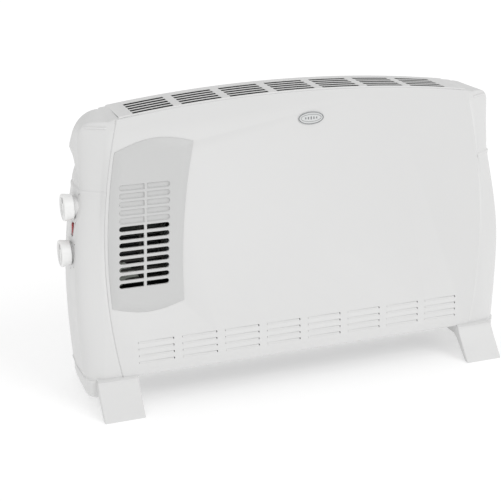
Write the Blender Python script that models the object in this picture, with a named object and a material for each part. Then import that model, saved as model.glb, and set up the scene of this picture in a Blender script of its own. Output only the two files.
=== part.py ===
"""Fan convector heater: a free-standing 2 kW steel and plastic room heater.

A leaning steel front panel, a vertical rear panel and an arched top grille close the case.
Plastic end caps and handle caps close its ends, and two splayed feet carry it.  The left end
cap holds the thermostat and the selector, and a bezel in the front panel hides a blower.

Body frame: +X to the right, +Y to the back, +Z up, floor at z = 0, and y = 0 where the front
plane crosses the louvres.  Everything hangs on one empty, which centres the bounding box.
"""
import math

import bmesh
import bpy

# ------------------------------------------------------------------ driving dimensions, metres
GAP = 0.0004                 # clearance between pieces that touch
SHEET = 0.0012               # steel sheet, with its paint
WALL = 0.0026                # moulded plastic wall

CASE_BOTTOM = 0.0444         # lower edge of the front panel
CASE_TOP = 0.4134            # upper edge of the front panel, at the middle
TOP_ARC = 1.82               # radius of the arched top edge
REAR_Y = 0.1000              # outer face of the rear panel
LEAN = 0.080                 # the front plane moves back this much per metre of height
LEAN_Z = 0.0915              # height where the front plane is at y = 0

PANEL_HALF = 0.2810          # half width of the panels where they are widest
PANEL_WIDEST_Z = 0.195
PANEL_SIDE_ARC = 0.760       # radius of the panels' bowed sides
FLANGE_TOP = 0.3765          # the panels' turned-back side edges end here
FRONT_FLANGE = 0.0140        # depth of the front panel's side edges low down
FRONT_FLANGE_HIGH = 0.0230   # and beside the handles, where they can be seen
REAR_FLANGE = 0.0120
CAP_HALF = 0.3195            # half width over the end caps where they are widest
CAP_WIDEST_Z = 0.150
CAP_SIDE_ARC = 0.746         # radius of their bowed sides above that height
CAP_LOWER_ARC = 1.250        # and below it
CAP_SET_BACK_LOW = 0.0008    # the caps' front starts this far behind the panel's: low down
CAP_SET_BACK_HIGH = 0.0022   # and at the handles
CAP_SLANT_LOW = 0.10         # and it falls back outwards: low down
CAP_SLANT_HIGH = 0.43        # and at the handles
CAP_CORNER = 0.014           # width of the rounded corner between front and side
CAP_CORNER_BACK = 0.026      # depth of that corner at the bottom of the case
CAP_LIP = 0.0066             # return edge of the caps beside the front panel
CAP_LIP_WIDTH = 0.0022
SPLIT_Z = 0.300              # joint between an end cap and its handle cap

HANDLE_CORNER_Z = 0.352      # centre height of the handle cap's rounded top corner
HANDLE_CORNER_X = 0.2635
HANDLE_CORNER_RX = 0.0389
HANDLE_CORNER_RZ = 0.0445
TONGUE_X = 0.2509            # inner end of the handle cap's top
SCOOP_DEPTH = 0.0085         # finger grip below the lobe of the handle cap
SCOOP_TOP_Z = 0.356
SCOOP_DEEP_Z = 0.341
SCOOP_BOTTOM_Z = 0.309

GRILLE_RISE = 0.0024         # top of the grille above the panel's edge
GRILLE_SEGMENTS = 7
GRILLE_PITCH = 0.0663
GRILLE_RIB = 0.0117
GRILLE_SLOTS = 5
GRILLE_SLOT_FRONT = 0.0030   # first slot behind the front plane
GRILLE_SLOT_PITCH = 0.0118
GRILLE_SLOT_WIDTH = 0.0082
GRILLE_SHIFT = -0.0051       # the groups of slots sit a little to the left of the middle

LOUVRE_COLUMNS = 8
LOUVRE_ROWS = 4
LOUVRE_PITCH_X = 0.062
LOUVRE_PITCH_Z = 0.0096
LOUVRE_LENGTH = 0.050
LOUVRE_HEIGHT = 0.0026
LOUVRE_TOP_Z = 0.0915

BEZEL_MARGIN = 0.0045        # steel left between the bezel and the panel's side
BEZEL_RIGHT_X = -0.1756
BEZEL_RIGHT_Z = 0.165
BEZEL_RIGHT_ARC = 0.847
BEZEL_TOP_Z = 0.3535
BEZEL_TOP_RISE = 0.0115
BEZEL_BOTTOM_Z = 0.1440
BEZEL_BOTTOM_DROP = 0.0095
BEZEL_EDGE_PROUD = 0.0010    # step of the bezel's edge above the panel
BEZEL_PROUD = 0.0048         # how far its flat field stands in front of the panel
BEZEL_RIM = 0.0125           # width of the sloping border round the field
BLIND_SLOT_DEPTH = 0.0010
FAN_SLOT_TOP_Z = 0.2525      # centre of the highest open slot
FAN_SLOT_PITCH = 0.01102
FAN_SLOT_HEIGHT = 0.0074
FAN_SLOTS_OPEN = 8
FAN_SLOTS_BLIND = 5
FAN_SLOT_LEFT = -0.2604
FAN_SLOT_RIGHT = -0.1918
FAN_MULLION = 0.0036
FAN_MULLION_SHIFT = 0.0014   # the mullion sits a little right of the middle
FAN_SLOT_DRIFT = 0.055       # the slots' ends follow the bowed side, metres per metre

BADGE_X = 0.0140
BADGE_Z = 0.3765
BADGE_HALF_X = 0.0190
BADGE_HALF_Z = 0.0092

KNOB_RADIUS = 0.0182
KNOB_Y = 0.0500
THERMOSTAT_Z = 0.2780
SELECTOR_Z = 0.2145
THERMOSTAT_FACE_X = -0.3262
SELECTOR_FACE_X = -0.3330
KNOB_LENGTH = 0.0138
SHAFT_RADIUS = 0.0030
LENS_Z = 0.2470
LENS_HALF_Y = 0.0045
LENS_HALF_Z = 0.0090

FOOT_INNER_X = 0.2455
FOOT_OUTER_X = 0.3020
FOOT_BULGE_X = 0.3160
FOOT_BULGE_Y = 0.0060        # the wide part of a foot starts behind its front legs
FOOT_TOP_Z = 0.0440
FOOT_ARCH_Z = 0.0300
FOOT_FRONT_Y = -0.0425
FOOT_REAR_Y = 0.1350
LEG_THICKNESS = 0.0075

FAN_Y = 0.0600
FAN_Z = 0.2060
FAN_SHAFT_RADIUS = 0.0022
HOUSING_LEFT_X = -0.2620
HOUSING_RIGHT_X = -0.1930
HOUSING_BOTTOM_Z = 0.1680
HOUSING_TOP_Z = 0.2600
MOTOR_LEFT_X = -0.1880
MOTOR_RIGHT_X = -0.1560
FAN_RADIUS = 0.0220
FAN_LEFT_X = -0.2560
FAN_RIGHT_X = -0.1990
FAN_BLADES = 14

ELEMENT_LEFT_X = -0.1180
ELEMENT_RIGHT_X = 0.2250
ELEMENT_Y = 0.0610
ELEMENT_LOWER_Z = 0.1450
ELEMENT_UPPER_Z = 0.1950
BRACKET_LEFT_X = -0.1260
BRACKET_RIGHT_X = 0.2330

CENTRE_X = (CAP_HALF + SELECTOR_FACE_X) / -2
CENTRE_Y = (FOOT_FRONT_Y + FOOT_REAR_Y) / -2


# ------------------------------------------------------------------ small tools
def clear_scene():
    for old in list(bpy.data.objects):
        bpy.data.objects.remove(old, do_unlink=True)


def make_material(name, colour, roughness, metallic=0.0):
    material = bpy.data.materials.new(name)
    material.use_nodes = True
    shader = material.node_tree.nodes["Principled BSDF"]
    shader.inputs["Base Color"].default_value = (*colour, 1.0)
    shader.inputs["Roughness"].default_value = roughness
    shader.inputs["Metallic"].default_value = metallic
    return material


def ease(low, high, value):
    """Smooth step from 0 at low to 1 at high."""
    t = min(1.0, max(0.0, (value - low) / (high - low)))
    return t * t * (3 - 2 * t)


def mix(a, b, t):
    return a + (b - a) * t


def skin(rings, closed_along=False):
    """Vertices and faces of a closed solid through equal rings of points."""
    count = len(rings[0])
    verts = [point for ring in rings for point in ring]
    faces = []
    last = len(rings) if closed_along else len(rings) - 1
    for i in range(last):
        a = i * count
        b = (i + 1) % len(rings) * count
        for j in range(count):
            k = (j + 1) % count
            faces.append((a + j, a + k, b + k, b + j))
    if not closed_along:
        faces.append(tuple(range(count)))
        faces.append(tuple(range((len(rings) - 1) * count, len(rings) * count)))
    return verts, faces


def prism_y(outline, y0, y1):
    """Solid from an outline of (x, z) points, extruded from y0 to y1."""
    return skin([[(x, y, z) for x, z in outline] for y in (y0, y1)])


def prism_x(outline, x0, x1):
    """Solid from an outline of (y, z) points, extruded from x0 to x1."""
    return skin([[(x, y, z) for y, z in outline] for x in (x0, x1)])


def block(x0, x1, y0, y1, z0, z1):
    return prism_y([(x0, z0), (x1, z0), (x1, z1), (x0, z1)], y0, y1)


def rod(axis, centre, radius, start, end, sides=16):
    """Cylinder along x, y or z; centre holds the two other coordinates."""
    rings = []
    for along in (start, end):
        ring = []
        for k in range(sides):
            turn = math.tau * k / sides
            p = centre[0] + radius * math.cos(turn)
            q = centre[1] + radius * math.sin(turn)
            ring.append({"x": (along, p, q), "y": (p, along, q), "z": (p, q, along)}[axis])
        rings.append(ring)
    return skin(rings)


def joined(*solids):
    """Several separate solids in one mesh, for a cutter."""
    verts, faces = [], []
    for solid_verts, solid_faces in solids:
        start = len(verts)
        verts += solid_verts
        faces += [tuple(start + i for i in face) for face in solid_faces]
    return verts, faces


def add(name, solid, material, smooth=False, origin=(0.0, 0.0, 0.0)):
    """Object from (vertices, faces) in the body frame, with its origin where asked."""
    verts, faces = solid
    mesh = bpy.data.meshes.new(name)
    mesh.from_pydata([tuple(c - o for c, o in zip(v, origin)) for v in verts], [], faces)
    work = bmesh.new()
    work.from_mesh(mesh)
    bmesh.ops.recalc_face_normals(work, faces=work.faces)
    work.to_mesh(mesh)
    work.free()
    if smooth:
        mesh.shade_smooth()
        mesh.set_sharp_from_angle(angle=math.radians(35))
    thing = bpy.data.objects.new(name, mesh)
    bpy.context.scene.collection.objects.link(thing)
    thing.location = origin
    thing.parent = HOME
    if material:
        mesh.materials.append(material)
    return thing


def shape(thing, solid, operation="DIFFERENCE"):
    """Cut a solid from an object, or unite it with the object."""
    index = len(thing.modifiers)
    tool = add(f"{thing.name}_tool_{index}", solid, None)
    tool.hide_render = True
    tool.display_type = "WIRE"
    modifier = thing.modifiers.new(f"{operation.lower()}_{index}", "BOOLEAN")
    modifier.operation = operation
    modifier.solver = "EXACT"
    modifier.object = tool
    return tool


# ------------------------------------------------------------------ shared outlines
def front_y(z):
    """Outer face of the leaning front panel."""
    return LEAN * (z - LEAN_Z)


def panel_half(z):
    return PANEL_HALF - (z - PANEL_WIDEST_Z) ** 2 / (2 * PANEL_SIDE_ARC)


def cap_half(z):
    arc = CAP_SIDE_ARC if z > CAP_WIDEST_Z else CAP_LOWER_ARC
    return CAP_HALF - (z - CAP_WIDEST_Z) ** 2 / (2 * arc)


def top_z(x):
    return CASE_TOP - x * x / (2 * TOP_ARC)


def cap_front_y(z):
    """Front of the end caps beside the panel, a little behind the panel's own face."""
    return front_y(z) + mix(CAP_SET_BACK_LOW, CAP_SET_BACK_HIGH, ease(0.180, 0.310, z))


def panel_outline(bottom, inset, side_steps=10, top_steps=16):
    """(x, z) loop of a panel, counter-clockwise seen from the front."""
    corner_z = top_z(panel_half(top_z(PANEL_HALF))) - inset
    right = [mix(bottom + inset, FLANGE_TOP, i / side_steps) for i in range(side_steps + 1)]
    right += [FLANGE_TOP + 0.003, corner_z]
    loop = [(panel_half(z) - inset, z) for z in right]
    half = loop[-1][0]
    for i in range(1, top_steps):
        x = half - 2 * half * i / top_steps
        loop.append((x, top_z(x) - inset))
    loop += [(-(panel_half(z) - inset), z) for z in reversed(right)]
    return loop


def tray(outline_of, face_y, depth_of, direction, lean):
    """Pressed sheet with a turned-back edge; depth_of gives the edge's depth at (x, z)."""
    outer = outline_of(0.0)
    bend = outline_of(0.0008)
    inner = outline_of(SHEET)

    def place(loop, depth):
        return [(x, face_y + (LEAN * (z - LEAN_Z) if lean else 0.0) + direction * d, z)
                for (x, z), d in zip(loop, depth)]

    deep = [depth_of(x, z) for x, z in outer]
    flat = [0.0] * len(outer)
    rings = [
        place(bend, flat),
        place(outer, [0.0008] * len(outer)),
        place(outer, deep),
        place(inner, deep),
        place(inner, [SHEET] * len(outer)),
    ]
    return skin(rings)


# ------------------------------------------------------------------ case panels
def louvre_slots(y0, y1, rows, top, height):
    slots = []
    left = -(LOUVRE_COLUMNS - 1) / 2 * LOUVRE_PITCH_X - LOUVRE_LENGTH / 2
    for row in range(rows):
        z = top - row * LOUVRE_PITCH_Z
        for column in range(LOUVRE_COLUMNS):
            x = left + column * LOUVRE_PITCH_X
            slots.append(block(x, x + LOUVRE_LENGTH, y0, y1, z - height / 2, z + height / 2))
    return slots


def edge_depth(deep):
    """Depth of a panel's edge: deep(z) along the sides and the bottom, none over the top."""
    def depth(x, z):
        if z > FLANGE_TOP + 0.001:
            return SHEET + GAP
        return deep(z)
    return depth


def bezel_outline(inset, steps=8):
    """(x, z) loop of the bezel: both sides follow the bowed side of the case."""
    bottom = BEZEL_BOTTOM_Z + inset
    top = BEZEL_TOP_Z - inset

    def left(z):
        return -(panel_half(z) - BEZEL_MARGIN) + inset

    def right(z):
        return BEZEL_RIGHT_X + (z - BEZEL_RIGHT_Z) ** 2 / (2 * BEZEL_RIGHT_ARC) - inset

    def bow(x_from, x_to, z_from, z_to, rise):
        return [(mix(x_from, x_to, i / steps),
                 mix(z_from, z_to, i / steps) + rise * math.sin(math.pi * i / steps))
                for i in range(1, steps)]

    heights = [mix(bottom, top, i / steps) for i in range(steps + 1)]
    right_top = top + 0.0065
    loop = [(right(mix(bottom, right_top, i / steps)), mix(bottom, right_top, i / steps))
            for i in range(steps + 1)]
    loop += bow(right(right_top), left(top), right_top, top, BEZEL_TOP_RISE)
    loop += [(left(z), z) for z in reversed(heights)]
    loop += bow(left(bottom), right(bottom), bottom, bottom, -BEZEL_BOTTOM_DROP)
    return loop


def leaning_prism(outline, d0, d1):
    """Solid along the panel's depth, d0 to d1 behind the leaning front plane."""
    return skin([[(x, front_y(z) + d, z) for x, z in outline] for d in (d0, d1)])


def build_front_panel():
    depth = edge_depth(lambda z: mix(FRONT_FLANGE, FRONT_FLANGE_HIGH, ease(0.290, 0.345, z)))
    panel = add("front_panel",
                tray(lambda inset: panel_outline(CASE_BOTTOM, inset), 0.0, depth, 1, True), PAINT)
    shape(panel, leaning_prism(bezel_outline(0.0030), -0.02, 0.02))
    slots = louvre_slots(-0.02, 0.012, LOUVRE_ROWS, LOUVRE_TOP_Z, LOUVRE_HEIGHT)
    shape(panel, joined(*slots))


def build_rear_panel():
    panel = add("rear_panel",
                tray(lambda inset: panel_outline(CASE_BOTTOM, inset), REAR_Y,
                     edge_depth(lambda z: REAR_FLANGE), -1, False), PAINT)
    intake = louvre_slots(REAR_Y - 0.003, REAR_Y + 0.003, LOUVRE_ROWS, 0.118, 0.0036)
    for row in range(9):
        z = 0.172 + row * 0.0095
        intake.append(block(-0.255, -0.196, REAR_Y - 0.003, REAR_Y + 0.003, z, z + 0.0045))
    for x, z in REAR_SCREWS:
        intake.append(rod("y", (x, z), 0.0023, REAR_Y - 0.003, REAR_Y + 0.003, 10))
    intake.append(rod("y", (GLAND_X, GLAND_Z), 0.0078, REAR_Y - 0.003, REAR_Y + 0.003, 16))
    shape(panel, joined(*intake))


def build_base_plate():
    z0 = CASE_BOTTOM + 0.0046
    z1 = z0 + SHEET
    y0 = front_y(z0) + SHEET + 0.0008
    y1 = REAR_Y - SHEET - 0.0008
    half = panel_half(z0) - SHEET - 0.002
    plate = add("base_plate", block(-half, half, y0, y1, z0, z1), STEEL)
    holes = []
    for column in range(LOUVRE_COLUMNS - 2):
        x = (column - 2.5) * LOUVRE_PITCH_X
        for row in range(3):
            y = 0.022 + row * 0.024
            holes.append(block(x - 0.023, x + 0.023, y, y + 0.009, z0 - 0.01, z1 + 0.01))
    for x, y in FOOT_SCREWS:
        holes.append(rod("z", (x, y), 0.0023, z0 - 0.01, z1 + 0.01, 10))
    shape(plate, joined(*holes))


# ------------------------------------------------------------------ top grille
def build_top_grille():
    """Arched plate over both panels, with seven groups of five long slots."""
    half = TONGUE_X - GAP
    steps = 24
    thick = GRILLE_RISE - GAP

    def plate_ring(x):
        z1 = top_z(x) + GRILLE_RISE
        z0 = z1 - thick
        y0 = front_y(CASE_TOP) + 0.0012
        y1 = REAR_Y
        round_off = 0.0016
        return [(x, y0, z0), (x, y1, z0), (x, y1, z1 - round_off),
                (x, y1 - round_off, z1), (x, y0 + round_off, z1), (x, y0, z1 - round_off)]

    grille = add("top_grille", skin([plate_ring(mix(-half, half, i / steps))
                                     for i in range(steps + 1)]), PLASTIC)
    slots = []
    length = GRILLE_PITCH - GRILLE_RIB
    front = front_y(CASE_TOP) + GRILLE_SLOT_FRONT
    for segment in range(GRILLE_SEGMENTS):
        x = (segment - (GRILLE_SEGMENTS - 1) / 2) * GRILLE_PITCH + GRILLE_SHIFT
        z = top_z(x)
        for slot in range(GRILLE_SLOTS):
            y = front + slot * GRILLE_SLOT_PITCH
            slots.append(block(x - length / 2, x + length / 2, y, y + GRILLE_SLOT_WIDTH,
                               z - 0.012, z + 0.012))
    shape(grille, joined(*slots))


# ------------------------------------------------------------------ end caps and handle caps
def shell_section(outer, inner, y_front, slant, across, back, side, scoop=None,
                  y_rear=REAR_Y, rear_radius=0.013):
    """One U-shaped section of an end shell, from its inner front edge round to the rear.

    outer and inner are (x, z) points; the section lies in the plane through both, along Y.
    The front face falls back outwards by slant; across and back are its corner's radii across
    the face and back along the side.
    """
    span = math.dist(outer, inner)
    corner_y = y_front + slant * (span - across)

    def point(distance, y):
        t = distance / span
        return (side * mix(inner[0], outer[0], t), y, mix(inner[1], outer[1], t))

    def surface(wall):
        row = [(0.0, y_front + wall)]
        if wall:
            row = [(0.0, y_front + CAP_LIP), (CAP_LIP_WIDTH, y_front + CAP_LIP),
                   (CAP_LIP_WIDTH, y_front + wall)]
        corner_a = across - wall
        corner_b = back - wall
        for i in range(6):
            turn = math.pi / 2 * i / 5
            row.append((span - across + corner_a * math.sin(turn),
                        corner_y + back - corner_b * math.cos(turn)))
        side_start = corner_y + back
        side_end = y_rear - rear_radius
        for i in range(1, 6):
            row.append((span - wall, mix(side_start, side_end, i / 6)))
        for i in range(5):
            turn = math.pi / 2 * i / 4
            row.append((span - rear_radius + (rear_radius - wall) * math.cos(turn),
                        side_end + (rear_radius - wall) * math.sin(turn)))
        row.append((0.0, y_rear - wall))
        if scoop:
            row = [(a - scoop(y) * ease(0.0, 0.6 * span, a), y) for a, y in row]
        return [point(a, y) for a, y in row]

    return surface(0.0) + list(reversed(surface(WALL)))


def end_cap(side, steps=10):
    rings = []
    for i in range(steps + 1):
        z = mix(CASE_BOTTOM, SPLIT_Z - GAP / 2, i / steps)
        up = ease(CASE_BOTTOM, SPLIT_Z, z)
        rings.append(shell_section((cap_half(z), z), (panel_half(z) + GAP, z), cap_front_y(z),
                                   mix(CAP_SLANT_LOW, CAP_SLANT_HIGH, ease(0.180, 0.310, z)),
                                   CAP_CORNER, mix(CAP_CORNER_BACK, CAP_CORNER, up), side))
    return skin(rings)


def handle_cap(side):
    """Side, rounded corner and top tongue of a handle cap, in one run of sections."""
    rings = []

    def scoop_at(z):
        deep = ease(SCOOP_TOP_Z, SCOOP_DEEP_Z, z) * (1 - ease(SCOOP_DEEP_Z, SCOOP_BOTTOM_Z, z))
        return lambda y: SCOOP_DEPTH * deep * ease(0.034, 0.058, y)

    start = SPLIT_Z + GAP / 2
    side_heights = [start, 0.316, 0.326, 0.335, 0.342, 0.347, 0.352]
    for z in side_heights:
        outer = (mix(cap_half(start), HANDLE_CORNER_X + HANDLE_CORNER_RX,
                     ease(start, HANDLE_CORNER_Z, z)), z)
        inner_z = mix(start, 0.346, (z - start) / (HANDLE_CORNER_Z - start))
        rings.append(shell_section(outer, (panel_half(inner_z) + GAP, inner_z),
                                   cap_front_y(z), CAP_SLANT_HIGH, CAP_CORNER, CAP_CORNER,
                                   side, scoop_at(z)))
    turns = 9
    for i in range(1, turns + 1):
        turn = math.pi / 2 * i / turns
        outer = (HANDLE_CORNER_X + HANDLE_CORNER_RX * math.cos(turn),
                 HANDLE_CORNER_Z + HANDLE_CORNER_RZ * math.sin(turn))
        inner_z = mix(0.346, 0.379, i / turns)
        slant = CAP_SLANT_HIGH * (1 - i / turns)
        across = mix(CAP_CORNER, 0.007, i / turns)
        back = mix(CAP_CORNER, 0.010, i / turns)
        scoop = scoop_at(outer[1]) if outer[1] < SCOOP_TOP_Z else None
        y_rear = REAR_Y if i < turns else REAR_Y - SHEET - GAP
        rings.append(shell_section(outer, (panel_half(inner_z) + GAP, inner_z),
                                   cap_front_y(outer[1]), slant, across, back, side, scoop,
                                   y_rear))
    for i in range(1, 4):
        x = mix(HANDLE_CORNER_X, TONGUE_X, i / 3)
        outer = (x, top_z(x) + GRILLE_RISE)
        y_front = mix(cap_front_y(0.3965), front_y(0.396) + SHEET + 0.0012, ease(0.0, 0.8, i / 3))
        rings.append(shell_section(outer, (x, mix(0.380, 0.3865, i / 3)), y_front, 0.0,
                                   0.006, mix(0.010, 0.004, i / 3), side,
                                   y_rear=REAR_Y - SHEET - GAP, rear_radius=0.006))
    return skin(rings)


def build_ends():
    for side, word in ((-1, "left"), (1, "right")):
        cap = add(f"{word}_end_cap", end_cap(side), PLASTIC, smooth=True)
        if side < 0:
            add_control_holes(cap)
        add(f"{word}_handle_cap", handle_cap(side), PLASTIC, smooth=True)


def add_control_holes(cap):
    """Round bosses that carry the knobs, bored for their shafts, and the lens window."""
    bosses = []
    bores = []
    for z, face in ((THERMOSTAT_Z, THERMOSTAT_FACE_X), (SELECTOR_Z, SELECTOR_FACE_X)):
        seat = face + KNOB_LENGTH + GAP
        bosses.append(rod("x", (KNOB_Y, z), KNOB_RADIUS - 0.0012, seat, -cap_half(z) + 0.0060, 24))
        bores.append(rod("x", (KNOB_Y, z), SHAFT_RADIUS + 0.0006, seat - 0.01, seat + 0.03, 16))
    shape(cap, joined(*bosses), "UNION")
    bores.append(block(-0.33, -0.29, KNOB_Y - LENS_HALF_Y - GAP, KNOB_Y + LENS_HALF_Y + GAP,
                       LENS_Z - LENS_HALF_Z - GAP, LENS_Z + LENS_HALF_Z + GAP))
    shape(cap, joined(*bores))


# ------------------------------------------------------------------ feet
def build_feet():
    """Each foot is one moulding: a flat bearer under the case end with two splayed legs."""
    bearer_front = -0.0085
    bearer_rear = REAR_Y - 0.0010
    profile = [
        (bearer_front, FOOT_TOP_Z),
        (bearer_front - 0.0050, FOOT_TOP_Z - 0.010),
        (mix(bearer_front, FOOT_FRONT_Y, 0.52), 0.018),
        (FOOT_FRONT_Y, 0.0),
        (FOOT_FRONT_Y + LEG_THICKNESS, 0.0),
        (mix(bearer_front, FOOT_FRONT_Y, 0.50) + LEG_THICKNESS, 0.015),
        (bearer_front + LEG_THICKNESS + 0.001, FOOT_ARCH_Z),
        (bearer_rear - LEG_THICKNESS - 0.001, FOOT_ARCH_Z),
        (mix(bearer_rear, FOOT_REAR_Y, 0.50) - LEG_THICKNESS, 0.015),
        (FOOT_REAR_Y - LEG_THICKNESS, 0.0),
        (FOOT_REAR_Y, 0.0),
        (mix(bearer_rear, FOOT_REAR_Y, 0.52), 0.018),
        (bearer_rear + 0.0050, FOOT_TOP_Z - 0.010),
        (bearer_rear, FOOT_TOP_Z),
    ]
    for side, word in ((-1, "left"), (1, "right")):
        foot = add(f"{word}_foot", prism_x(profile, side * FOOT_INNER_X, side * FOOT_OUTER_X),
                   PLASTIC)
        bulge = []
        steps = 5
        for i in range(steps + 1):
            turn = math.pi / 2 * i / steps
            bulge.append((side * mix(FOOT_OUTER_X - 0.004, FOOT_BULGE_X, math.sin(turn)),
                          mix(FOOT_ARCH_Z - 0.006, FOOT_TOP_Z - 0.004, 1 - math.cos(turn))))
        bulge.append((side * FOOT_BULGE_X, FOOT_TOP_Z))
        bulge.append((side * (FOOT_OUTER_X - 0.004), FOOT_TOP_Z))
        shape(foot, prism_y(bulge, FOOT_BULGE_Y, bearer_rear - 0.0008), "UNION")
        holes = [rod("z", (side * abs(x), y), 0.0023, 0.0, 0.06, 10) for x, y in FOOT_SCREWS[:2]]
        holes += [rod("z", (side * abs(x), y), 0.0042, 0.0, FOOT_ARCH_Z + 0.005, 12)
                  for x, y in FOOT_SCREWS[:2]]
        shape(foot, joined(*holes[:2]))
        shape(foot, joined(*holes[2:]))


def screw(axis, centre, head_end, head_radius, head_length, shank_end, shank_radius):
    """Pan head and shank as one turned solid."""
    sign = 1 if shank_end > head_end else -1
    seat = head_end + sign * head_length
    stations = [
        (head_end, head_radius * 0.6),
        (head_end + sign * head_length * 0.45, head_radius),
        (seat, head_radius),
        (seat, shank_radius),
        (shank_end, shank_radius),
    ]
    sides = 10
    rings = []
    for along, radius in stations:
        ring = []
        for k in range(sides):
            turn = math.tau * k / sides
            p = centre[0] + radius * math.cos(turn)
            q = centre[1] + radius * math.sin(turn)
            ring.append({"y": (p, along, q), "z": (p, q, along)}[axis])
        rings.append(ring)
    return skin(rings)


def build_screws():
    for index, (x, y) in enumerate(FOOT_SCREWS):
        add(f"foot_screw_{index + 1}",
            screw("z", (x, y), FOOT_ARCH_Z + 0.0022, 0.0036, 0.0024, 0.0545, 0.0017), ZINC)
    for index, (x, z) in enumerate(REAR_SCREWS):
        add(f"rear_screw_{index + 1}",
            screw("y", (x, z), REAR_Y + 0.0021, 0.0036, 0.0018, REAR_Y - 0.0080, 0.0017), ZINC)


# ------------------------------------------------------------------ fan bezel and badge
def fan_slot(z, d0, d1, side, height):
    """Slot with a round outer end and a square end at the mullion."""
    drift = FAN_SLOT_DRIFT * (z - FAN_SLOT_TOP_Z)
    middle = (FAN_SLOT_LEFT + FAN_SLOT_RIGHT) / 2 + FAN_MULLION_SHIFT + drift
    inner = middle + side * FAN_MULLION / 2
    outer = (FAN_SLOT_LEFT if side < 0 else FAN_SLOT_RIGHT) + drift
    radius = height / 2
    outline = [(inner, z - radius), (inner, z + radius)]
    for i in range(7):
        turn = math.pi / 2 - math.pi * i / 6
        outline.append((outer - side * radius + side * radius * math.cos(turn),
                        z + radius * math.sin(turn)))
    return leaning_prism(outline, d0, d1)


def build_bezel():
    """Raised plastic grille over the panel's window: blind rows above, open rows below."""
    def ring(inset, depth):
        return [(x, front_y(z) + depth, z) for x, z in bezel_outline(inset)]

    lap = 0.0034
    rings = [
        ring(BEZEL_RIM, -BEZEL_PROUD),
        ring(BEZEL_RIM * 0.45, -mix(BEZEL_EDGE_PROUD, BEZEL_PROUD, 0.68)),
        ring(0.0, -BEZEL_EDGE_PROUD),
        ring(0.0, -GAP),
        ring(lap, -GAP),
        ring(lap, 0.0020),
        ring(lap + WALL, 0.0020),
        ring(BEZEL_RIM, WALL - BEZEL_PROUD),
    ]
    bezel = add("fan_bezel", skin(rings), GREY_PLASTIC)
    slots = []
    for row in range(FAN_SLOTS_OPEN):
        z = FAN_SLOT_TOP_Z - row * FAN_SLOT_PITCH
        for side in (-1, 1):
            slots.append(fan_slot(z, -0.01, 0.02, side, FAN_SLOT_HEIGHT))
    for row in range(FAN_SLOTS_BLIND):
        z = FAN_SLOT_TOP_Z + (row + 1) * FAN_SLOT_PITCH
        for side in (-1, 1):
            slots.append(fan_slot(z, -0.01, BLIND_SLOT_DEPTH - BEZEL_PROUD, side,
                                  FAN_SLOT_HEIGHT))
    shape(bezel, joined(*slots))


def build_badge():
    """Plain domed oval plate."""
    sides = 28
    rings = []
    for scale, depth in ((0.72, -0.0016), (1.0, -0.0008), (1.0, -0.0003)):
        rings.append([(BADGE_X + BADGE_HALF_X * scale * math.cos(math.tau * k / sides),
                       front_y(BADGE_Z + BADGE_HALF_Z * scale * math.sin(math.tau * k / sides))
                       + depth,
                       BADGE_Z + BADGE_HALF_Z * scale * math.sin(math.tau * k / sides))
                      for k in range(sides)])
    add("badge", skin(rings), CHROME)


# ------------------------------------------------------------------ controls
def knob(face, z):
    """Turned knob with a recessed grip bar across its face, on an axis along X."""
    sides = 32
    back = face + KNOB_LENGTH
    rings = []
    for x, radius in ((face, KNOB_RADIUS - 0.0030), (face + 0.0008, KNOB_RADIUS - 0.0012),
                      (face + 0.0026, KNOB_RADIUS - 0.0004), (back, KNOB_RADIUS)):
        rings.append([(x, KNOB_Y + radius * math.cos(math.tau * k / sides),
                       z + radius * math.sin(math.tau * k / sides)) for k in range(sides)])
    return skin(rings)


def build_controls():
    grip_half = 0.0034           # half thickness of the bar across a knob's face
    hollow_reach = 0.0120        # the hollows beside it: how far out, how high and how deep
    hollow_half_z = 0.0095
    hollow_depth = 0.0065
    socket = 0.0062              # depth of the shaft's hole in the back of a knob
    shaft_end = -0.2895
    body_x = -0.2890
    for word, z, face in (("thermostat", THERMOSTAT_Z, THERMOSTAT_FACE_X),
                          ("selector", SELECTOR_Z, SELECTOR_FACE_X)):
        axis = (face, KNOB_Y, z)
        dial = add(f"{word}_knob", knob(face, z), PLASTIC, smooth=True, origin=axis)
        hollows = []
        for sign in (-1, 1):
            y0 = KNOB_Y + sign * grip_half
            y1 = KNOB_Y + sign * hollow_reach
            hollows.append(block(face - 0.002, face + hollow_depth, min(y0, y1), max(y0, y1),
                                 z - hollow_half_z, z + hollow_half_z))
        shape(dial, joined(*hollows))
        back = face + KNOB_LENGTH
        shape(dial, rod("x", (KNOB_Y, z), SHAFT_RADIUS + GAP, back - socket, back + 0.002, 16))
        add(f"{word}_shaft", rod("x", (KNOB_Y, z), SHAFT_RADIUS, back - socket + GAP, shaft_end, 16),
            STEEL, smooth=True, origin=axis)
    for name, z, half, length in (("thermostat_body", THERMOSTAT_Z, 0.0150, 0.022),
                                  ("selector_switch", SELECTOR_Z, 0.0130, 0.026)):
        add(name, block(body_x, body_x + length, KNOB_Y - half, KNOB_Y + half,
                        z - half, z + half), BAKELITE)
    add_control_bracket(body_x - 0.0030)
    lens_x = -cap_half(LENS_Z)
    stations = ((lens_x - 0.0018, 0.0015), (lens_x - 0.0006, 0.0), (lens_x + 0.0260, 0.0))
    rings = []
    for x, inset in stations:
        half_y = LENS_HALF_Y - inset
        half_z = LENS_HALF_Z - inset
        rings.append([(x, KNOB_Y - half_y, LENS_Z - half_z), (x, KNOB_Y + half_y, LENS_Z - half_z),
                      (x, KNOB_Y + half_y, LENS_Z + half_z), (x, KNOB_Y - half_y, LENS_Z + half_z)])
    add("indicator_lens", skin(rings), RED_LENS)


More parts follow.
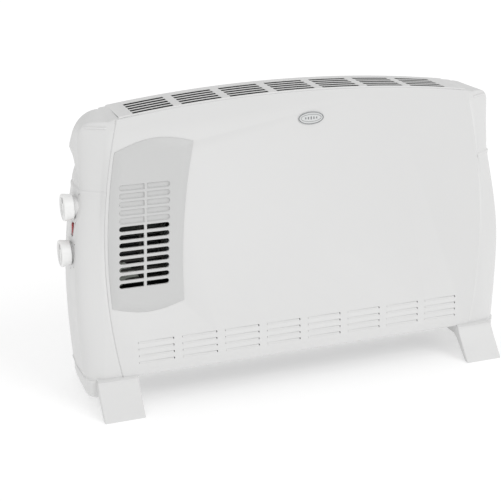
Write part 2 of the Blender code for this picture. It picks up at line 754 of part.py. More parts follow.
def add_control_bracket(x):
    """Sheet-steel plate that carries both controls, with holes for their shafts and the lens."""
    bracket = add("control_bracket",
                  block(x, x + SHEET, KNOB_Y - 0.0180, KNOB_Y + 0.0200,
                        SELECTOR_Z - 0.0220, THERMOSTAT_Z + 0.0200), STEEL)
    bores = [rod("x", (KNOB_Y, z), SHAFT_RADIUS + 0.0010, x - 0.01, x + 0.01, 16)
             for z in (THERMOSTAT_Z, SELECTOR_Z)]
    half_y = LENS_HALF_Y + 0.0005
    half_z = LENS_HALF_Z + 0.0005
    bores.append(block(x - 0.01, x + 0.01, KNOB_Y - half_y, KNOB_Y + half_y,
                       LENS_Z - half_z, LENS_Z + half_z))
    shape(bracket, joined(*bores))


# ------------------------------------------------------------------ blower
def build_blower():
    """Cross-flow blower behind the bezel: scroll, impeller, shaft, motor and heater grid."""
    add_fan_housing(wall=0.0020)
    add_impeller(inner_radius=0.0150, outer_radius=0.0240, hub_bore=0.0026, end_plate=0.0020)
    axis = (FAN_LEFT_X, FAN_Y, FAN_Z)
    add("fan_shaft", rod("x", (FAN_Y, FAN_Z), FAN_SHAFT_RADIUS, HOUSING_LEFT_X - 0.0002,
                         MOTOR_LEFT_X + 0.0025, 12), STEEL, smooth=True, origin=axis)
    motor = add("fan_motor", rod("x", (FAN_Y, FAN_Z), 0.0190, MOTOR_LEFT_X, MOTOR_RIGHT_X, 20),
                STEEL, smooth=True)
    shape(motor, rod("x", (FAN_Y, FAN_Z), FAN_SHAFT_RADIUS + GAP, MOTOR_LEFT_X - 0.01,
                     MOTOR_LEFT_X + 0.0030, 12))
    plate_x = HOUSING_RIGHT_X + 0.0005
    bracket = add("motor_bracket", block(plate_x, MOTOR_LEFT_X - 0.0005, 0.0300, 0.0900,
                                         0.1750, 0.2370), STEEL)
    shape(bracket, rod("x", (FAN_Y, FAN_Z), 0.0050, plate_x - 0.01, plate_x + 0.01, 14))
    add_heater_grid(rows=6, columns=2)


def add_fan_housing(wall):
    """Box round the impeller, open to the slots in front and to the case behind."""
    x0 = HOUSING_LEFT_X
    x1 = HOUSING_RIGHT_X
    housing = add("fan_housing", block(x0, x1, 0.0265, 0.0930, HOUSING_BOTTOM_Z, HOUSING_TOP_Z),
                  HOUSING)
    shape(housing, rod("x", (FAN_Y, FAN_Z), FAN_RADIUS + 0.0015, x0 + wall, x1 - wall, 24))
    shape(housing, block(x0 + wall, x1 - wall, 0.0200, 0.0500,
                         HOUSING_BOTTOM_Z + wall, HOUSING_TOP_Z - wall))
    shape(housing, block(x0 + wall, x1 - wall, 0.0700, 0.0990,
                         HOUSING_BOTTOM_Z + 0.0160, HOUSING_TOP_Z - 0.0160))
    shape(housing, rod("x", (FAN_Y, FAN_Z), 0.0036, x0 - 0.01, x1 + 0.01, 14))


def add_impeller(inner_radius, outer_radius, hub_bore, end_plate):
    """Drum of blades between two end plates, with a wedge of air between blades."""
    impeller = add("fan_impeller", rod("x", (FAN_Y, FAN_Z), FAN_RADIUS, FAN_LEFT_X, FAN_RIGHT_X,
                                       FAN_BLADES * 2), ALUMINIUM,
                   origin=(FAN_LEFT_X, FAN_Y, FAN_Z))
    wedges = []
    for k in range(FAN_BLADES):
        turn = math.tau * k / FAN_BLADES
        wedge = [(FAN_Y + radius * math.cos(turn + offset), FAN_Z + radius * math.sin(turn + offset))
                 for radius, offset in ((inner_radius, -0.10), (outer_radius, -0.17),
                                        (outer_radius, 0.17), (inner_radius, 0.10))]
        wedges.append(prism_x(wedge, FAN_LEFT_X + end_plate, FAN_RIGHT_X - end_plate))
    shape(impeller, joined(*wedges))
    shape(impeller, rod("x", (FAN_Y, FAN_Z), hub_bore, FAN_LEFT_X - 0.01, FAN_RIGHT_X + 0.01, 12))


def add_heater_grid(rows, columns):
    """Mica board in the housing's mouth, with windows for the fan's heating wire."""
    margin_x = 0.0030
    margin_z = 0.0035
    bar = 0.0026
    x0 = HOUSING_LEFT_X + 0.0025
    x1 = HOUSING_RIGHT_X - 0.0025
    z0 = HOUSING_BOTTOM_Z + 0.0030
    z1 = HOUSING_TOP_Z - 0.0030
    grid = add("fan_heater_grid", block(x0, x1, 0.0300, 0.0330, z0, z1), MICA)
    pitch_x = (x1 - x0 - 2 * margin_x + bar) / columns
    pitch_z = (z1 - z0 - 2 * margin_z + bar) / rows
    windows = []
    for row in range(rows):
        for column in range(columns):
            x = x0 + margin_x + column * pitch_x
            z = z0 + margin_z + row * pitch_z
            windows.append(block(x, x + pitch_x - bar, 0.02, 0.04, z, z + pitch_z - bar))
    shape(grid, joined(*windows))


# ------------------------------------------------------------------ convector chamber
def build_chamber():
    """Two finned heating elements between brackets, behind a heat shield."""
    for word, z in (("lower", ELEMENT_LOWER_Z), ("upper", ELEMENT_UPPER_Z)):
        add_element(f"{word}_heating_element", z, reach=0.0200, half_fin=0.0014)
    for word, x in (("left", BRACKET_LEFT_X), ("right", BRACKET_RIGHT_X)):
        bracket = add(f"{word}_element_bracket",
                      block(x, x + SHEET, 0.0360, 0.0960, 0.0510, 0.2300), STEEL)
        shape(bracket, joined(*[rod("x", (ELEMENT_Y, z), 0.0048, x - 0.01, x + 0.01, 12)
                                for z in (ELEMENT_LOWER_Z, ELEMENT_UPPER_Z)]))
    add_heat_shield(-0.1200, 0.2280, thickness=0.0010)
    add("partition_plate", block(-0.1420, -0.1420 + SHEET, 0.0330, 0.0960, 0.0530, 0.3900), STEEL)
    add("thermal_cutout", rod("x", (0.0780, 0.2200), 0.0080, BRACKET_LEFT_X - 0.0092,
                              BRACKET_LEFT_X - GAP, 16), STEEL, smooth=True)
    add("terminal_block", block(-0.2350, -0.1750, 0.0560, 0.0700, 0.0506 + GAP, 0.0680), NYLON)
    gland = add("cord_gland", rod("y", (GLAND_X, GLAND_Z), 0.0074, REAR_Y - 0.0060,
                                  REAR_Y + GAP * 2, 18), BLACK_RUBBER, smooth=True)
    shape(gland, rod("y", (GLAND_X, GLAND_Z), 0.0105, REAR_Y + GAP, REAR_Y + 0.0040, 18), "UNION")
    shape(gland, rod("y", (GLAND_X, GLAND_Z), 0.0036, REAR_Y - 0.02, REAR_Y + 0.02, 14))
    route = [(-0.2050, 0.0780, 0.0560), (-0.2450, 0.0800, 0.0700), (-0.2730, 0.0780, 0.1100),
             (-0.2760, 0.0780, 0.1600), (-0.2740, 0.0780, 0.2145), (-0.2740, 0.0780, 0.2780)]
    add("wiring_loom", loom(route, 0.0024), NYLON, smooth=True)


def add_element(name, z, reach, half_fin):
    """Extruded element: a round core with four straight fins, and a rod through its ends."""
    core = 0.0048
    section = []
    for k in range(4):
        turn = math.pi / 4 + math.pi / 2 * k
        for radius, offset in ((reach, -half_fin / reach), (reach, half_fin / reach),
                               (core, math.pi / 4)):
            section.append((ELEMENT_Y + radius * math.cos(turn + offset),
                            z + radius * math.sin(turn + offset)))
    element = add(name, prism_x(section, ELEMENT_LEFT_X, ELEMENT_RIGHT_X), ALUMINIUM)
    shape(element, rod("x", (ELEMENT_Y, z), 0.0040, BRACKET_LEFT_X - 0.010,
                       BRACKET_RIGHT_X + 0.012, 12), "UNION")


def add_heat_shield(x0, x1, thickness):
    """Thin sheet behind the front panel, which turns back under the grille."""
    rings = []
    for z, behind in ((0.1100, 0.0120), (0.2200, 0.0120), (0.3200, 0.0120), (0.3460, 0.0180)):
        y = front_y(z) + behind
        rings.append([(x0, y, z), (x1, y, z), (x1, y + thickness, z), (x0, y + thickness, z)])
    add("heat_shield", skin(rings), ALUMINIUM)


def loom(route, radius):
    """Round bundle of wires along a smooth curve through the route's points."""
    points = []
    for i in range(len(route) - 1):
        p0, p1 = route[max(i - 1, 0)], route[i]
        p2, p3 = route[i + 1], route[min(i + 2, len(route) - 1)]
        for step in range(4):
            t = step / 4
            points.append(tuple(
                0.5 * (2 * b + (c - a) * t + (2 * a - 5 * b + 4 * c - d) * t * t
                       + (3 * b - a - 3 * c + d) * t ** 3)
                for a, b, c, d in zip(p0, p1, p2, p3)))
    points.append(route[-1])
    rings = []
    for i, centre in enumerate(points):
        before, after = points[max(i - 1, 0)], points[min(i + 1, len(points) - 1)]
        along = [b - a for a, b in zip(before, after)]
        length = math.hypot(*along)
        along = [c / length for c in along]
        side = [along[2], 0.0, -along[0]]
        size = math.hypot(*side)
        side = [c / size for c in side]
        up = [along[1] * side[2] - along[2] * side[1], along[2] * side[0] - along[0] * side[2],
              along[0] * side[1] - along[1] * side[0]]
        rings.append([tuple(c + radius * (math.cos(math.tau * k / 8) * s
                                          + math.sin(math.tau * k / 8) * u)
                            for c, s, u in zip(centre, side, up)) for k in range(8)])
    return skin(rings)


# ------------------------------------------------------------------ the heater
clear_scene()
HOME = bpy.data.objects.new("heater_origin", None)
bpy.context.scene.collection.objects.link(HOME)
HOME.location = (CENTRE_X, CENTRE_Y, 0.0)

PAINT = make_material("white_painted_steel", (0.74, 0.74, 0.73), 0.38)
PLASTIC = make_material("white_plastic", (0.76, 0.76, 0.75), 0.42)
GREY_PLASTIC = make_material("pale_grey_plastic", (0.60, 0.60, 0.59), 0.45)
STEEL = make_material("galvanised_steel", (0.55, 0.56, 0.57), 0.40, 0.9)
ALUMINIUM = make_material("aluminium_fin", (0.66, 0.66, 0.67), 0.35, 1.0)
ZINC = make_material("zinc_plated_screw", (0.62, 0.62, 0.60), 0.30, 1.0)
CHROME = make_material("satin_badge", (0.70, 0.70, 0.70), 0.30, 0.2)
RED_LENS = make_material("red_lens", (0.55, 0.03, 0.04), 0.15)
BAKELITE = make_material("brown_phenolic", (0.10, 0.07, 0.05), 0.55)
HOUSING = make_material("grey_blower_plastic", (0.42, 0.44, 0.42), 0.50)
MICA = make_material("mica_board", (0.55, 0.50, 0.40), 0.60)
NYLON = make_material("natural_nylon", (0.75, 0.72, 0.64), 0.50)
BLACK_RUBBER = make_material("black_rubber", (0.03, 0.03, 0.03), 0.70)

FOOT_SCREWS = [(-0.2560, 0.0250), (-0.2560, 0.0700), (0.2560, 0.0250), (0.2560, 0.0700)]
REAR_SCREWS = [(-0.2500, 0.3600), (0.2500, 0.3600), (-0.2640, 0.2900), (0.2680, 0.2000),
               (-0.2520, 0.0600), (0.2520, 0.0600)]
GLAND_X = -0.2350
GLAND_Z = 0.0760

build_front_panel()
build_rear_panel()
build_base_plate()
build_top_grille()
build_ends()
build_feet()
build_screws()
build_bezel()
build_badge()
build_controls()
build_blower()
build_chamber()
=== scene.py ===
"""Looks of a fan convector heater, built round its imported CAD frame.

Lengths are in metres.  Shapes are written in the body frame of the case: +X to the right,
+Y to the back, +Z up from the floor, and y = 0 where the front plane crosses the louvres.
piece() moves them to the row frame by HOME, which is where the CAD says the case is.
"""
from math import cos, dist, exp, pi, radians, sin, sqrt, tau

import bmesh
import bpy
from mathutils import Matrix, Vector
from mathutils.bvhtree import BVHTree


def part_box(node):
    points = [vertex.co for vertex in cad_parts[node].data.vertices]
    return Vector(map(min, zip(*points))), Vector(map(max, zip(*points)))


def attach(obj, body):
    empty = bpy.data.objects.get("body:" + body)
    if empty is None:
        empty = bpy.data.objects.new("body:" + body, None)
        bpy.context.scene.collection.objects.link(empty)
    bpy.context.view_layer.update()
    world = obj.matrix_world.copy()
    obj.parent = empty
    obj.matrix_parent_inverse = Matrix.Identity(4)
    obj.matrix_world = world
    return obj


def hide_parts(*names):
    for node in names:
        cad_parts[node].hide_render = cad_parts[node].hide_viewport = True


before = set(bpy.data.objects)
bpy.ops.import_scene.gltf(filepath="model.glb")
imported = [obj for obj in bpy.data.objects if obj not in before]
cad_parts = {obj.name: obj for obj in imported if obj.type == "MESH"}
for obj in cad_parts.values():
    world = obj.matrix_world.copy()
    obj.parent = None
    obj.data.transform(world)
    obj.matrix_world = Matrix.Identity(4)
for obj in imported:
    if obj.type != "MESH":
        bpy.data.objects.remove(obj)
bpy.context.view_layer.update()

# ---- measures of the case
PANEL_LOW, PANEL_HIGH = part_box("front_panel")
REAR_Y = 0.1000  # the rear face, behind the louvres' front plane
HOME = Vector(((PANEL_LOW.x + PANEL_HIGH.x) / 2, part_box("rear_panel")[1].y - REAR_Y, 0.0))


def local_box(node):
    """A CAD node's box in the body frame."""
    low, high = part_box(node)
    return low - HOME, high - HOME


def middle_of(node):
    """The centre of a CAD node's box, in the body frame."""
    low, high = local_box(node)
    return [(a + b) / 2 for a, b in zip(low, high)]


GAP = 0.0004
SEAM = 0.00005  # what is left of a gap where mouldings butt together
SHEET = 0.0012
WALL = 0.0026
CASE_BOTTOM = PANEL_LOW.z
CASE_TOP = PANEL_HIGH.z
SPLIT_Z = 0.3035  # the line between an end cap and its handle cap
TOP_ARC = 1.82  # radius of the arched top edge
LEAN = 0.080  # the front plane moves back this much per metre
LEAN_Z = 0.0915  # height where it is at y = 0
PANEL_HALF = (PANEL_HIGH.x - PANEL_LOW.x) / 2
PANEL_WIDEST_Z = 0.195
PANEL_SIDE_ARC = 0.760
FLANGE_TOP = 0.3765  # the panels' bowed sides end here, below the top corner
CAP_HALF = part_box("right_end_cap")[1].x - HOME.x
CAP_WIDEST_Z = 0.150
CAP_SIDE_ARC = 0.746
CAP_LOWER_ARC = 1.250  # the ends bow less below their widest height
EDGE_DEPTH = 0.0015  # an end shell meets the panel's turned-back edge this far behind its face
STRIP_LEAST = 0.0016  # least width of the strip beside the panel
STRIP_X = (0.2745, 0.2685)  # the strip's outer end, at STRIP_Z and at STRIP_RISE above it
STRIP_Z = 0.300
STRIP_RISE = 0.086
FACE_FALL = (0.0007, 0.0062)  # the face beyond the strip is this far back, low down and high up
FACE_FALL_Z = (0.180, 0.310)  # the heights between which that changes
FACE_SLANT = (0.10, 0.46)  # how steeply the face slants back outwards, low down and high up
FACE_SLANT_Z = (0.150, 0.315)
CAP_CORNER_DEPTH = (0.022, 0.012)  # how far back an end cap's front corner reaches
CAP_POWER = (2.5, 3.2)  # and the power of its superellipse
CAP_CORNER_Z = (0.050, 0.300)
CAP_LEDGE_LOW = 0.0013
CAP_LEDGE_HIGH = 0.0012
HANDLE_CORNER_DEPTH = 0.011
HANDLE_POWER = 3.4
HANDLE_CORNER_Z = 0.352
HANDLE_CORNER_X = 0.2635
HANDLE_CORNER_RX = 0.0389
HANDLE_CORNER_RZ = 0.0445
HANDLE_FRONT_RZ = 0.0405  # the corner is lower and squarer at its front edge
HANDLE_FRONT_POWER = 3.6
HANDLE_BESIDE_Z = 0.346  # a handle's level sections meet the panel up to here
HANDLE_OVER_Z = 0.379  # and those that turn over its corner meet it up to here
TONGUE_INNER_Z = 0.3865  # underside of the tongue's end, beside the grille
TONGUE_X = 0.2509
LOBE_Z = 0.3485  # the lobe above a finger grip
LOBE_REACH = 0.0085
LOBE_PROUD = 0.0026
BEAD_Z = 0.3846  # the raised line across a handle's face
BEAD_X = (0.2665, 0.2940)
SIDE_SWELL = 0.0015
REAR_CORNER = 0.013
GRILLE_RISE = local_box("top_grille")[1].z - CASE_TOP
GRILLE_SEGMENTS = 7
GRILLE_PITCH = 0.0663
GRILLE_RIB = 0.0117
GRILLE_SHIFT = -0.0051
GRILLE_SLOTS = 5
GRILLE_SLOT_FRONT = 0.0030
GRILLE_SLOT_PITCH = 0.0118
GRILLE_SLOT_WIDTH = 0.0086
LOUVRE_COLUMNS = 8
LOUVRE_ROWS = 4
LOUVRE_PITCH_X = 0.062
LOUVRE_PITCH_Z = 0.0096
LOUVRE_LENGTH = 0.050
LOUVRE_HEIGHT = 0.0027
LOUVRE_TOP_Z = 0.0915
REAR_LOUVRE_TOP_Z = 0.1180
BEZEL_MARGIN = 0.0045
BEZEL_RIGHT_X = -0.1756
BEZEL_RIGHT_Z = 0.165
BEZEL_RIGHT_ARC = 0.847
BEZEL_TOP_Z = 0.3535
BEZEL_TOP_RISE = 0.0115
BEZEL_BOTTOM_Z = 0.1440
BEZEL_BOTTOM_DROP = 0.0095
BEZEL_PROUD = 0.0048
BEZEL_RIM = 0.0125
FAN_SLOT_TOP_Z = 0.2525
FAN_SLOT_PITCH = 0.01102
FAN_SLOT_HEIGHT = 0.0074
FAN_SLOTS_OPEN = 8
FAN_SLOTS_BLIND = 5
FAN_SLOT_LEFT = -0.2604
FAN_SLOT_RIGHT = -0.1918
FAN_MULLION = 0.0036
FAN_MULLION_SHIFT = 0.0014  # the mullion stands right of the middle
FAN_SLOT_DRIFT = 0.055  # the rows move right this much per metre upwards
FOOT_OUTER_X = 0.3020
FOOT_FRONT_Y = -0.0085  # a foot's bearer, between its legs
FOOT_REAR_Y = REAR_Y - 0.0010
FOOT_TOP_Z = CASE_BOTTOM - SEAM
FOOT_ARCH_Z = 0.0300
LEG_THICKNESS = 0.0075
SHOE_LOW_Z = 0.0105  # the shoe curls under from its full width to here
SHOE_FULL_Z = 0.0310
SHOE_INNER_X = 0.2960
SHOE_CURL_X = 0.3035
DIAL_RADIUS = 0.0222
DIAL_FRONT_Y = 0.034  # the end cap curves away in front of this


def front_y(z):
    """The leaning front plane."""
    return LEAN * (z - LEAN_Z)


def panel_half(z):
    """Half the width of the panels, whose sides are bowed."""
    return PANEL_HALF - (z - PANEL_WIDEST_Z) ** 2 / (2 * PANEL_SIDE_ARC)


def cap_half(z):
    """Half the width over the end caps."""
    arc = CAP_SIDE_ARC if z > CAP_WIDEST_Z else CAP_LOWER_ARC
    return CAP_HALF - (z - CAP_WIDEST_Z) ** 2 / (2 * arc)


def top_z(x):
    """The panels' arched top edge."""
    return CASE_TOP - x * x / (2 * TOP_ARC)


def strip_line(z):
    """x where the strip beside the panel ends: it widens upwards as the panel narrows."""
    return max(panel_half(z) + STRIP_LEAST, mix(*STRIP_X, (z - STRIP_Z) / STRIP_RISE))


def end_face_y(x, z):
    """Front of an end shell: a strip beside the panel, then a face that slants back outwards."""
    edge, line = panel_half(z), strip_line(z)
    fallen = front_y(z) + mix(*FACE_FALL, ease(*FACE_FALL_Z, z))
    if x < line:
        t = min(1.0, max(0.0, (x - edge) / (line - edge)))
        return mix(front_y(z) + EDGE_DEPTH, fallen, t)
    return fallen + mix(*FACE_SLANT, ease(*FACE_SLANT_Z, z)) * (x - line)


def ease(low, high, value):
    """0 below low, 1 above high, and a smooth rise between."""
    t = min(1.0, max(0.0, (value - low) / (high - low)))
    return t * t * (3 - 2 * t)


def mix(a, b, t):
    return a + (b - a) * t


def spaced(low, high, steps):
    """Evenly spaced values from low to high."""
    return [mix(low, high, i / steps) for i in range(steps + 1)]


def quarter(steps, first=0):
    """Evenly spaced angles up to a right angle."""
    return [pi / 2 * i / steps for i in range(first, steps + 1)]


def skin(rings, closed_along=False):
    """Vertices and faces of a closed solid through equal rings of points."""
    count = len(rings[0])
    verts = [point for ring in rings for point in ring]
    faces = []
    last = len(rings) if closed_along else len(rings) - 1
    for i in range(last):
        a = i * count
        b = (i + 1) % len(rings) * count
        for j in range(count):
            k = (j + 1) % count
            faces.append((a + j, a + k, b + k, b + j))
    if not closed_along:
        faces.append(tuple(range(count)))
        faces.append(tuple(range((len(rings) - 1) * count, len(rings) * count)))
    return verts, faces


def prism_y(outline, y0, y1):
    return skin([[(x, y, z) for x, z in outline] for y in (y0, y1)])


def prism_x(outline, x0, x1):
    return skin([[(x, y, z) for y, z in outline] for x in (x0, x1)])


def block(x0, x1, y0, y1, z0, z1):
    return prism_y([(x0, z0), (x1, z0), (x1, z1), (x0, z1)], y0, y1)


def around(p, q, half_p, half_q, sides):
    """Points of an ellipse about (p, q)."""
    return [(p + half_p * cos(tau * k / sides), q + half_q * sin(tau * k / sides))
            for k in range(sides)]


def turned(axis, centre, stations, sides):
    """Solid of revolution along x, y or z from (along, radius) stations."""
    return skin([[{"x": (along, p, q), "y": (p, along, q), "z": (p, q, along)}[axis]
                  for p, q in around(*centre, radius, radius, sides)]
                 for along, radius in stations])


def joined(solids):
    verts, faces = [], []
    for solid_verts, solid_faces in solids:
        start = len(verts)
        verts += solid_verts
        faces += [tuple(start + i for i in face) for face in solid_faces]
    return verts, faces


def added(name, data):
    """New object in the scene."""
    thing = bpy.data.objects.new(name, data)
    bpy.context.scene.collection.objects.link(thing)
    return thing


def piece(name, solid, *materials):
    """Object from a solid in the body frame, with its faces pointing out."""
    verts, faces = solid
    mesh = bpy.data.meshes.new(name)
    mesh.from_pydata([Vector(v) + HOME for v in verts], [], faces)
    work = bmesh.new()
    work.from_mesh(mesh)
    bmesh.ops.recalc_face_normals(work, faces=work.faces)
    work.to_mesh(mesh)
    work.free()
    for material in materials:
        mesh.materials.append(material)
    return added(name, mesh)


def settle(thing):
    """Turn an object's modifiers into its mesh."""
    graph = bpy.context.evaluated_depsgraph_get()
    graph.update()
    mesh = bpy.data.meshes.new_from_object(thing.evaluated_get(graph))
    thing.modifiers.clear()
    thing.data = mesh


def soften(thing, width, segments=3, angle=32):
    """Round an object's edges."""
    bevel = thing.modifiers.new("soften", "BEVEL")
    bevel.width = width
    bevel.segments = segments
    bevel.limit_method = "ANGLE"
    bevel.angle_limit = radians(angle)
    settle(thing)


def shape(thing, solids, operation="DIFFERENCE", slot=0):
    """Cut solids from an object, or unite them with it; new faces get material slot."""
    tool = piece("tool", joined(solids), *thing.data.materials)
    for face in tool.data.polygons:
        face.material_index = slot
    modifier = thing.modifiers.new("shape", "BOOLEAN")
    modifier.operation = operation
    modifier.solver = "EXACT"
    modifier.object = tool
    settle(thing)
    bpy.data.objects.remove(tool, do_unlink=True)


def shade(thing, angle, weighted):
    """Smooth shading, with flat faces kept flat."""
    thing.data.shade_smooth()
    thing.data.set_sharp_from_angle(angle=radians(angle))
    if weighted:
        normals = thing.modifiers.new("normals", "WEIGHTED_NORMAL")
        normals.keep_sharp = True
        normals.weight = 100


def mount(thing, slot, *nodes, body="case", angle=35, weighted=True):
    """Shade a piece, move it with its body, and hide the CAD nodes that it stands for."""
    if angle:
        shade(thing, angle, weighted)
    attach(thing, body)
    if nodes:
        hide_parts(*nodes)


def fill(node, values):
    """Set a shader node's inputs."""
    for name, value in values.items():
        node.inputs[name].default_value = value


# ---- materials
def surface(name, colour, roughness, grain, relief, vary, metallic=0.0, coat=0.0, edge_highlight=0.0,
            streak=1.0):
    """Procedural finish: uneven colour and gloss, fine moulded or sprayed grain, and a painted
    highlight that lightens sharp convex edges.
    """
    material = bpy.data.materials.new(name)
    material.use_nodes = True
    nodes = material.node_tree.nodes
    links = material.node_tree.links
    shader = nodes["Principled BSDF"]
    fill(shader, {"Metallic": metallic, "Coat Weight": coat, "Coat Roughness": 0.25})
    where = nodes.new("ShaderNodeTexCoord")
    stretch = nodes.new("ShaderNodeMapping")
    fill(stretch, {"Scale": (1.0, 1.0, streak)})
    links.new(where.outputs["Object"], stretch.inputs["Vector"])

    def noise(scale, detail, rough=0.5):
        node = nodes.new("ShaderNodeTexNoise")
        fill(node, {"Scale": scale, "Detail": detail, "Roughness": rough})
        links.new(stretch.outputs["Vector"], node.inputs["Vector"])
        return node.outputs["Fac"]

    def ranged(value, low, high, to_low, to_high):
        node = nodes.new("ShaderNodeMapRange")
        fill(node, {"From Min": low, "From Max": high, "To Min": to_low, "To Max": to_high})
        links.new(value, node.inputs["Value"])
        return node.outputs["Result"]

    def blended(factor, a, b):
        node = nodes.new("ShaderNodeMix")
        node.data_type = "RGBA"
        links.new(factor, node.inputs["Factor"])
        for value, socket in ((a, node.inputs[6]), (b, node.inputs[7])):
            if isinstance(value, tuple):
                socket.default_value = (*value, 1.0)
            else:
                links.new(value, socket)
        return node.outputs[2]

    cloud = ranged(noise(7.0, 4.0), 0.3, 0.7, 0.0, 1.0)
    darker = tuple(c * (1 - vary) for c in colour)
    tone = blended(cloud, darker, colour)
    speck = ranged(noise(900.0, 2.0), 0.62, 0.8, 0.0, vary * 4)
    tone = blended(speck, tone, tuple(c * 0.86 for c in colour))
    # Painted highlight: sharp convex edges get a lighter colour.
    if edge_highlight:
        geometry = nodes.new("ShaderNodeNewGeometry")
        edge = ranged(geometry.outputs["Pointiness"], 0.52, 0.60, 0.0, edge_highlight)
        tone = blended(edge, tone, tuple(min(1.0, c * 1.12 + 0.03) for c in colour))
    links.new(tone, shader.inputs["Base Color"])
    mottle = 0.14
    gloss = ranged(noise(38.0, 5.0, 0.6), 0.25, 0.75, roughness * (1 - mottle),
                   roughness * (1 + mottle))
    links.new(gloss, shader.inputs["Roughness"])
    bump = nodes.new("ShaderNodeBump")
    fill(bump, {"Distance": relief, "Strength": 1.0})
    links.new(noise(1.0 / grain, 3.0, 0.6), bump.inputs["Height"])
    links.new(bump.outputs["Normal"], shader.inputs["Normal"])
    return material


# name, colour, roughness, grain, relief, how much the colour varies
PAINT = surface("white_painted_steel", (0.665, 0.665, 0.662), 0.36, 0.0016, 0.000018, 0.012,
                coat=0.15, edge_highlight=0.3)
WHITE = surface("white_plastic", (0.675, 0.675, 0.672), 0.40, 0.0007, 0.000016, 0.014, edge_highlight=0.35)
KNOB_WHITE = surface("knob_plastic", (0.82, 0.82, 0.815), 0.36, 0.0006, 0.000012, 0.014, edge_highlight=0.35)
GREY = surface("pale_grey_plastic", (0.565, 0.567, 0.564), 0.42, 0.0007, 0.000018, 0.016,
               edge_highlight=0.35)
# Lighter copy of the bezel's grey for the open slots' walls: a painted highlight.
SLOT_EDGE_HIGHLIGHT = surface("slot_edges_painted_highlight", (0.76, 0.76, 0.755), 0.40, 0.0007, 0.000016, 0.016, edge_highlight=0.35)
# Near-black for the sheets' and grille's inner faces: painted shade inside the case.
INSIDE_SHADE = surface("inside_painted_shade", (0.050, 0.052, 0.053), 0.62, 0.0010, 0.00003, 0.20,
                 metallic=0.3)
STEEL = surface("galvanised_steel", (0.36, 0.37, 0.38), 0.42, 0.0040, 0.00001, 0.25,
                metallic=0.85, streak=0.4)
# Near-black steel for the base, brackets, partition and impeller: painted shade that keeps the
# inside dark.
SHADED_STEEL = surface("steel_painted_shade", (0.070, 0.072, 0.075), 0.50, 0.0020, 0.00002, 0.2,
                     metallic=0.6)
# Aluminium darkened to near-black for the fins and heat shield: painted shade that keeps the
# inside dark.
SHADED_FIN = surface("aluminium_fin", (0.11, 0.11, 0.115), 0.45, 0.0015, 0.00002, 0.15, metallic=0.7,
              streak=0.2)
ZINC = surface("zinc_screw", (0.62, 0.62, 0.60), 0.30, 0.0006, 0.00001, 0.12, metallic=1.0)
SILVER = surface("badge_field", (0.66, 0.67, 0.67), 0.30, 0.0004, 0.000012, 0.05, metallic=0.15)
RING_GREY = surface("badge_ring", (0.26, 0.265, 0.27), 0.32, 0.0004, 0.00001, 0.10, metallic=0.4)
PHENOLIC = surface("brown_phenolic", (0.030, 0.020, 0.014), 0.5, 0.0009, 0.00003, 0.25)
# Near-black rather than the grey of the blower plastic: painted shade for the fan housing and the
# bezel's back faces.
SHADED_BLOWER = surface("grey_blower_plastic", (0.040, 0.046, 0.042), 0.5, 0.0009, 0.00003, 0.12)
SCROLL = surface("pale_scroll_plastic", (0.42, 0.45, 0.41), 0.45, 0.0009, 0.00003, 0.08)
MICA = surface("mica_board", (0.030, 0.028, 0.024), 0.55, 0.0030, 0.00004, 0.35)
NYLON = surface("natural_nylon", (0.55, 0.52, 0.45), 0.5, 0.0008, 0.00002, 0.10)
RUBBER = surface("black_rubber", (0.016, 0.016, 0.016), 0.66, 0.0006, 0.00004, 0.2)
MARK = surface("printed_mark", (0.17, 0.17, 0.175), 0.5, 0.0005, 0.000008, 0.08)


def lens_material():
    """Clear red plastic that lets some light in."""
    material = surface("red_lens", (0.42, 0.010, 0.020), 0.12, 0.0030, 0.00001, 0.10, coat=0.6)
    fill(material.node_tree.nodes["Principled BSDF"], {"Transmission Weight": 0.35, "IOR": 1.49})
    return material


LENS = lens_material()


# ---- case panels
def on_front(outline, depth):
    """An (x, z) outline's points, this far behind the leaning front plane."""
    return [(x, front_y(z) + depth, z) for x, z in outline]


def leaning_prism(outline, d0, d1):
    return skin([on_front(outline, d) for d in (d0, d1)])


def panel_outline(inset):
    """(x, z) loop of a panel, and how many of its points are on each side."""
    corner_z = top_z(panel_half(top_z(PANEL_HALF))) - inset
    heights = spaced(CASE_BOTTOM + inset, FLANGE_TOP, 44)
    heights += spaced(FLANGE_TOP + 0.002, corner_z, 6)
    loop = [(panel_half(z) - inset, z) for z in heights]
    half = loop[-1][0]
    steps = 56
    for i in range(1, steps):
        x = half - 2 * half * i / steps
        loop.append((x, top_z(x) - inset))
    loop += [(-(panel_half(z) - inset), z) for z in reversed(heights)]
    return loop, len(heights)


def pressed_tray(face_y, direction, lean, deep):
    """Pressed sheet: a rounded bend, then edges turned back, to deep(z) beside the caps."""
    bend = 0.0018

    def ring(inset, depth, to_edge=False):
        outline, side_count = panel_outline(inset)
        loop = []
        for index, (x, z) in enumerate(outline):
            beside = index < side_count or index >= len(outline) - side_count
            d = deep(z) if to_edge and beside else depth
            loop.append((x, face_y + (front_y(z) if lean else 0.0) + direction * d, z))
        return loop

    rings = [ring(bend * (1 - sin(turn)), bend * (1 - cos(turn))) for turn in quarter(5)]
    rings += [ring(0.0, bend + GAP, True), ring(SHEET, bend + GAP, True)]
    inner = bend - SHEET
    rings += [ring(bend - inner * sin(turn), bend - inner * cos(turn))
              for turn in reversed(quarter(2))]
    return skin(rings)


def darken_inside(thing, is_inside):
    """Give an object's second material, a near-black painted shade, to the faces that is_inside
    names.
    """
    for face in thing.data.polygons:
        centre = face.center - HOME
        if is_inside(centre, face.normal):
            face.material_index = 1


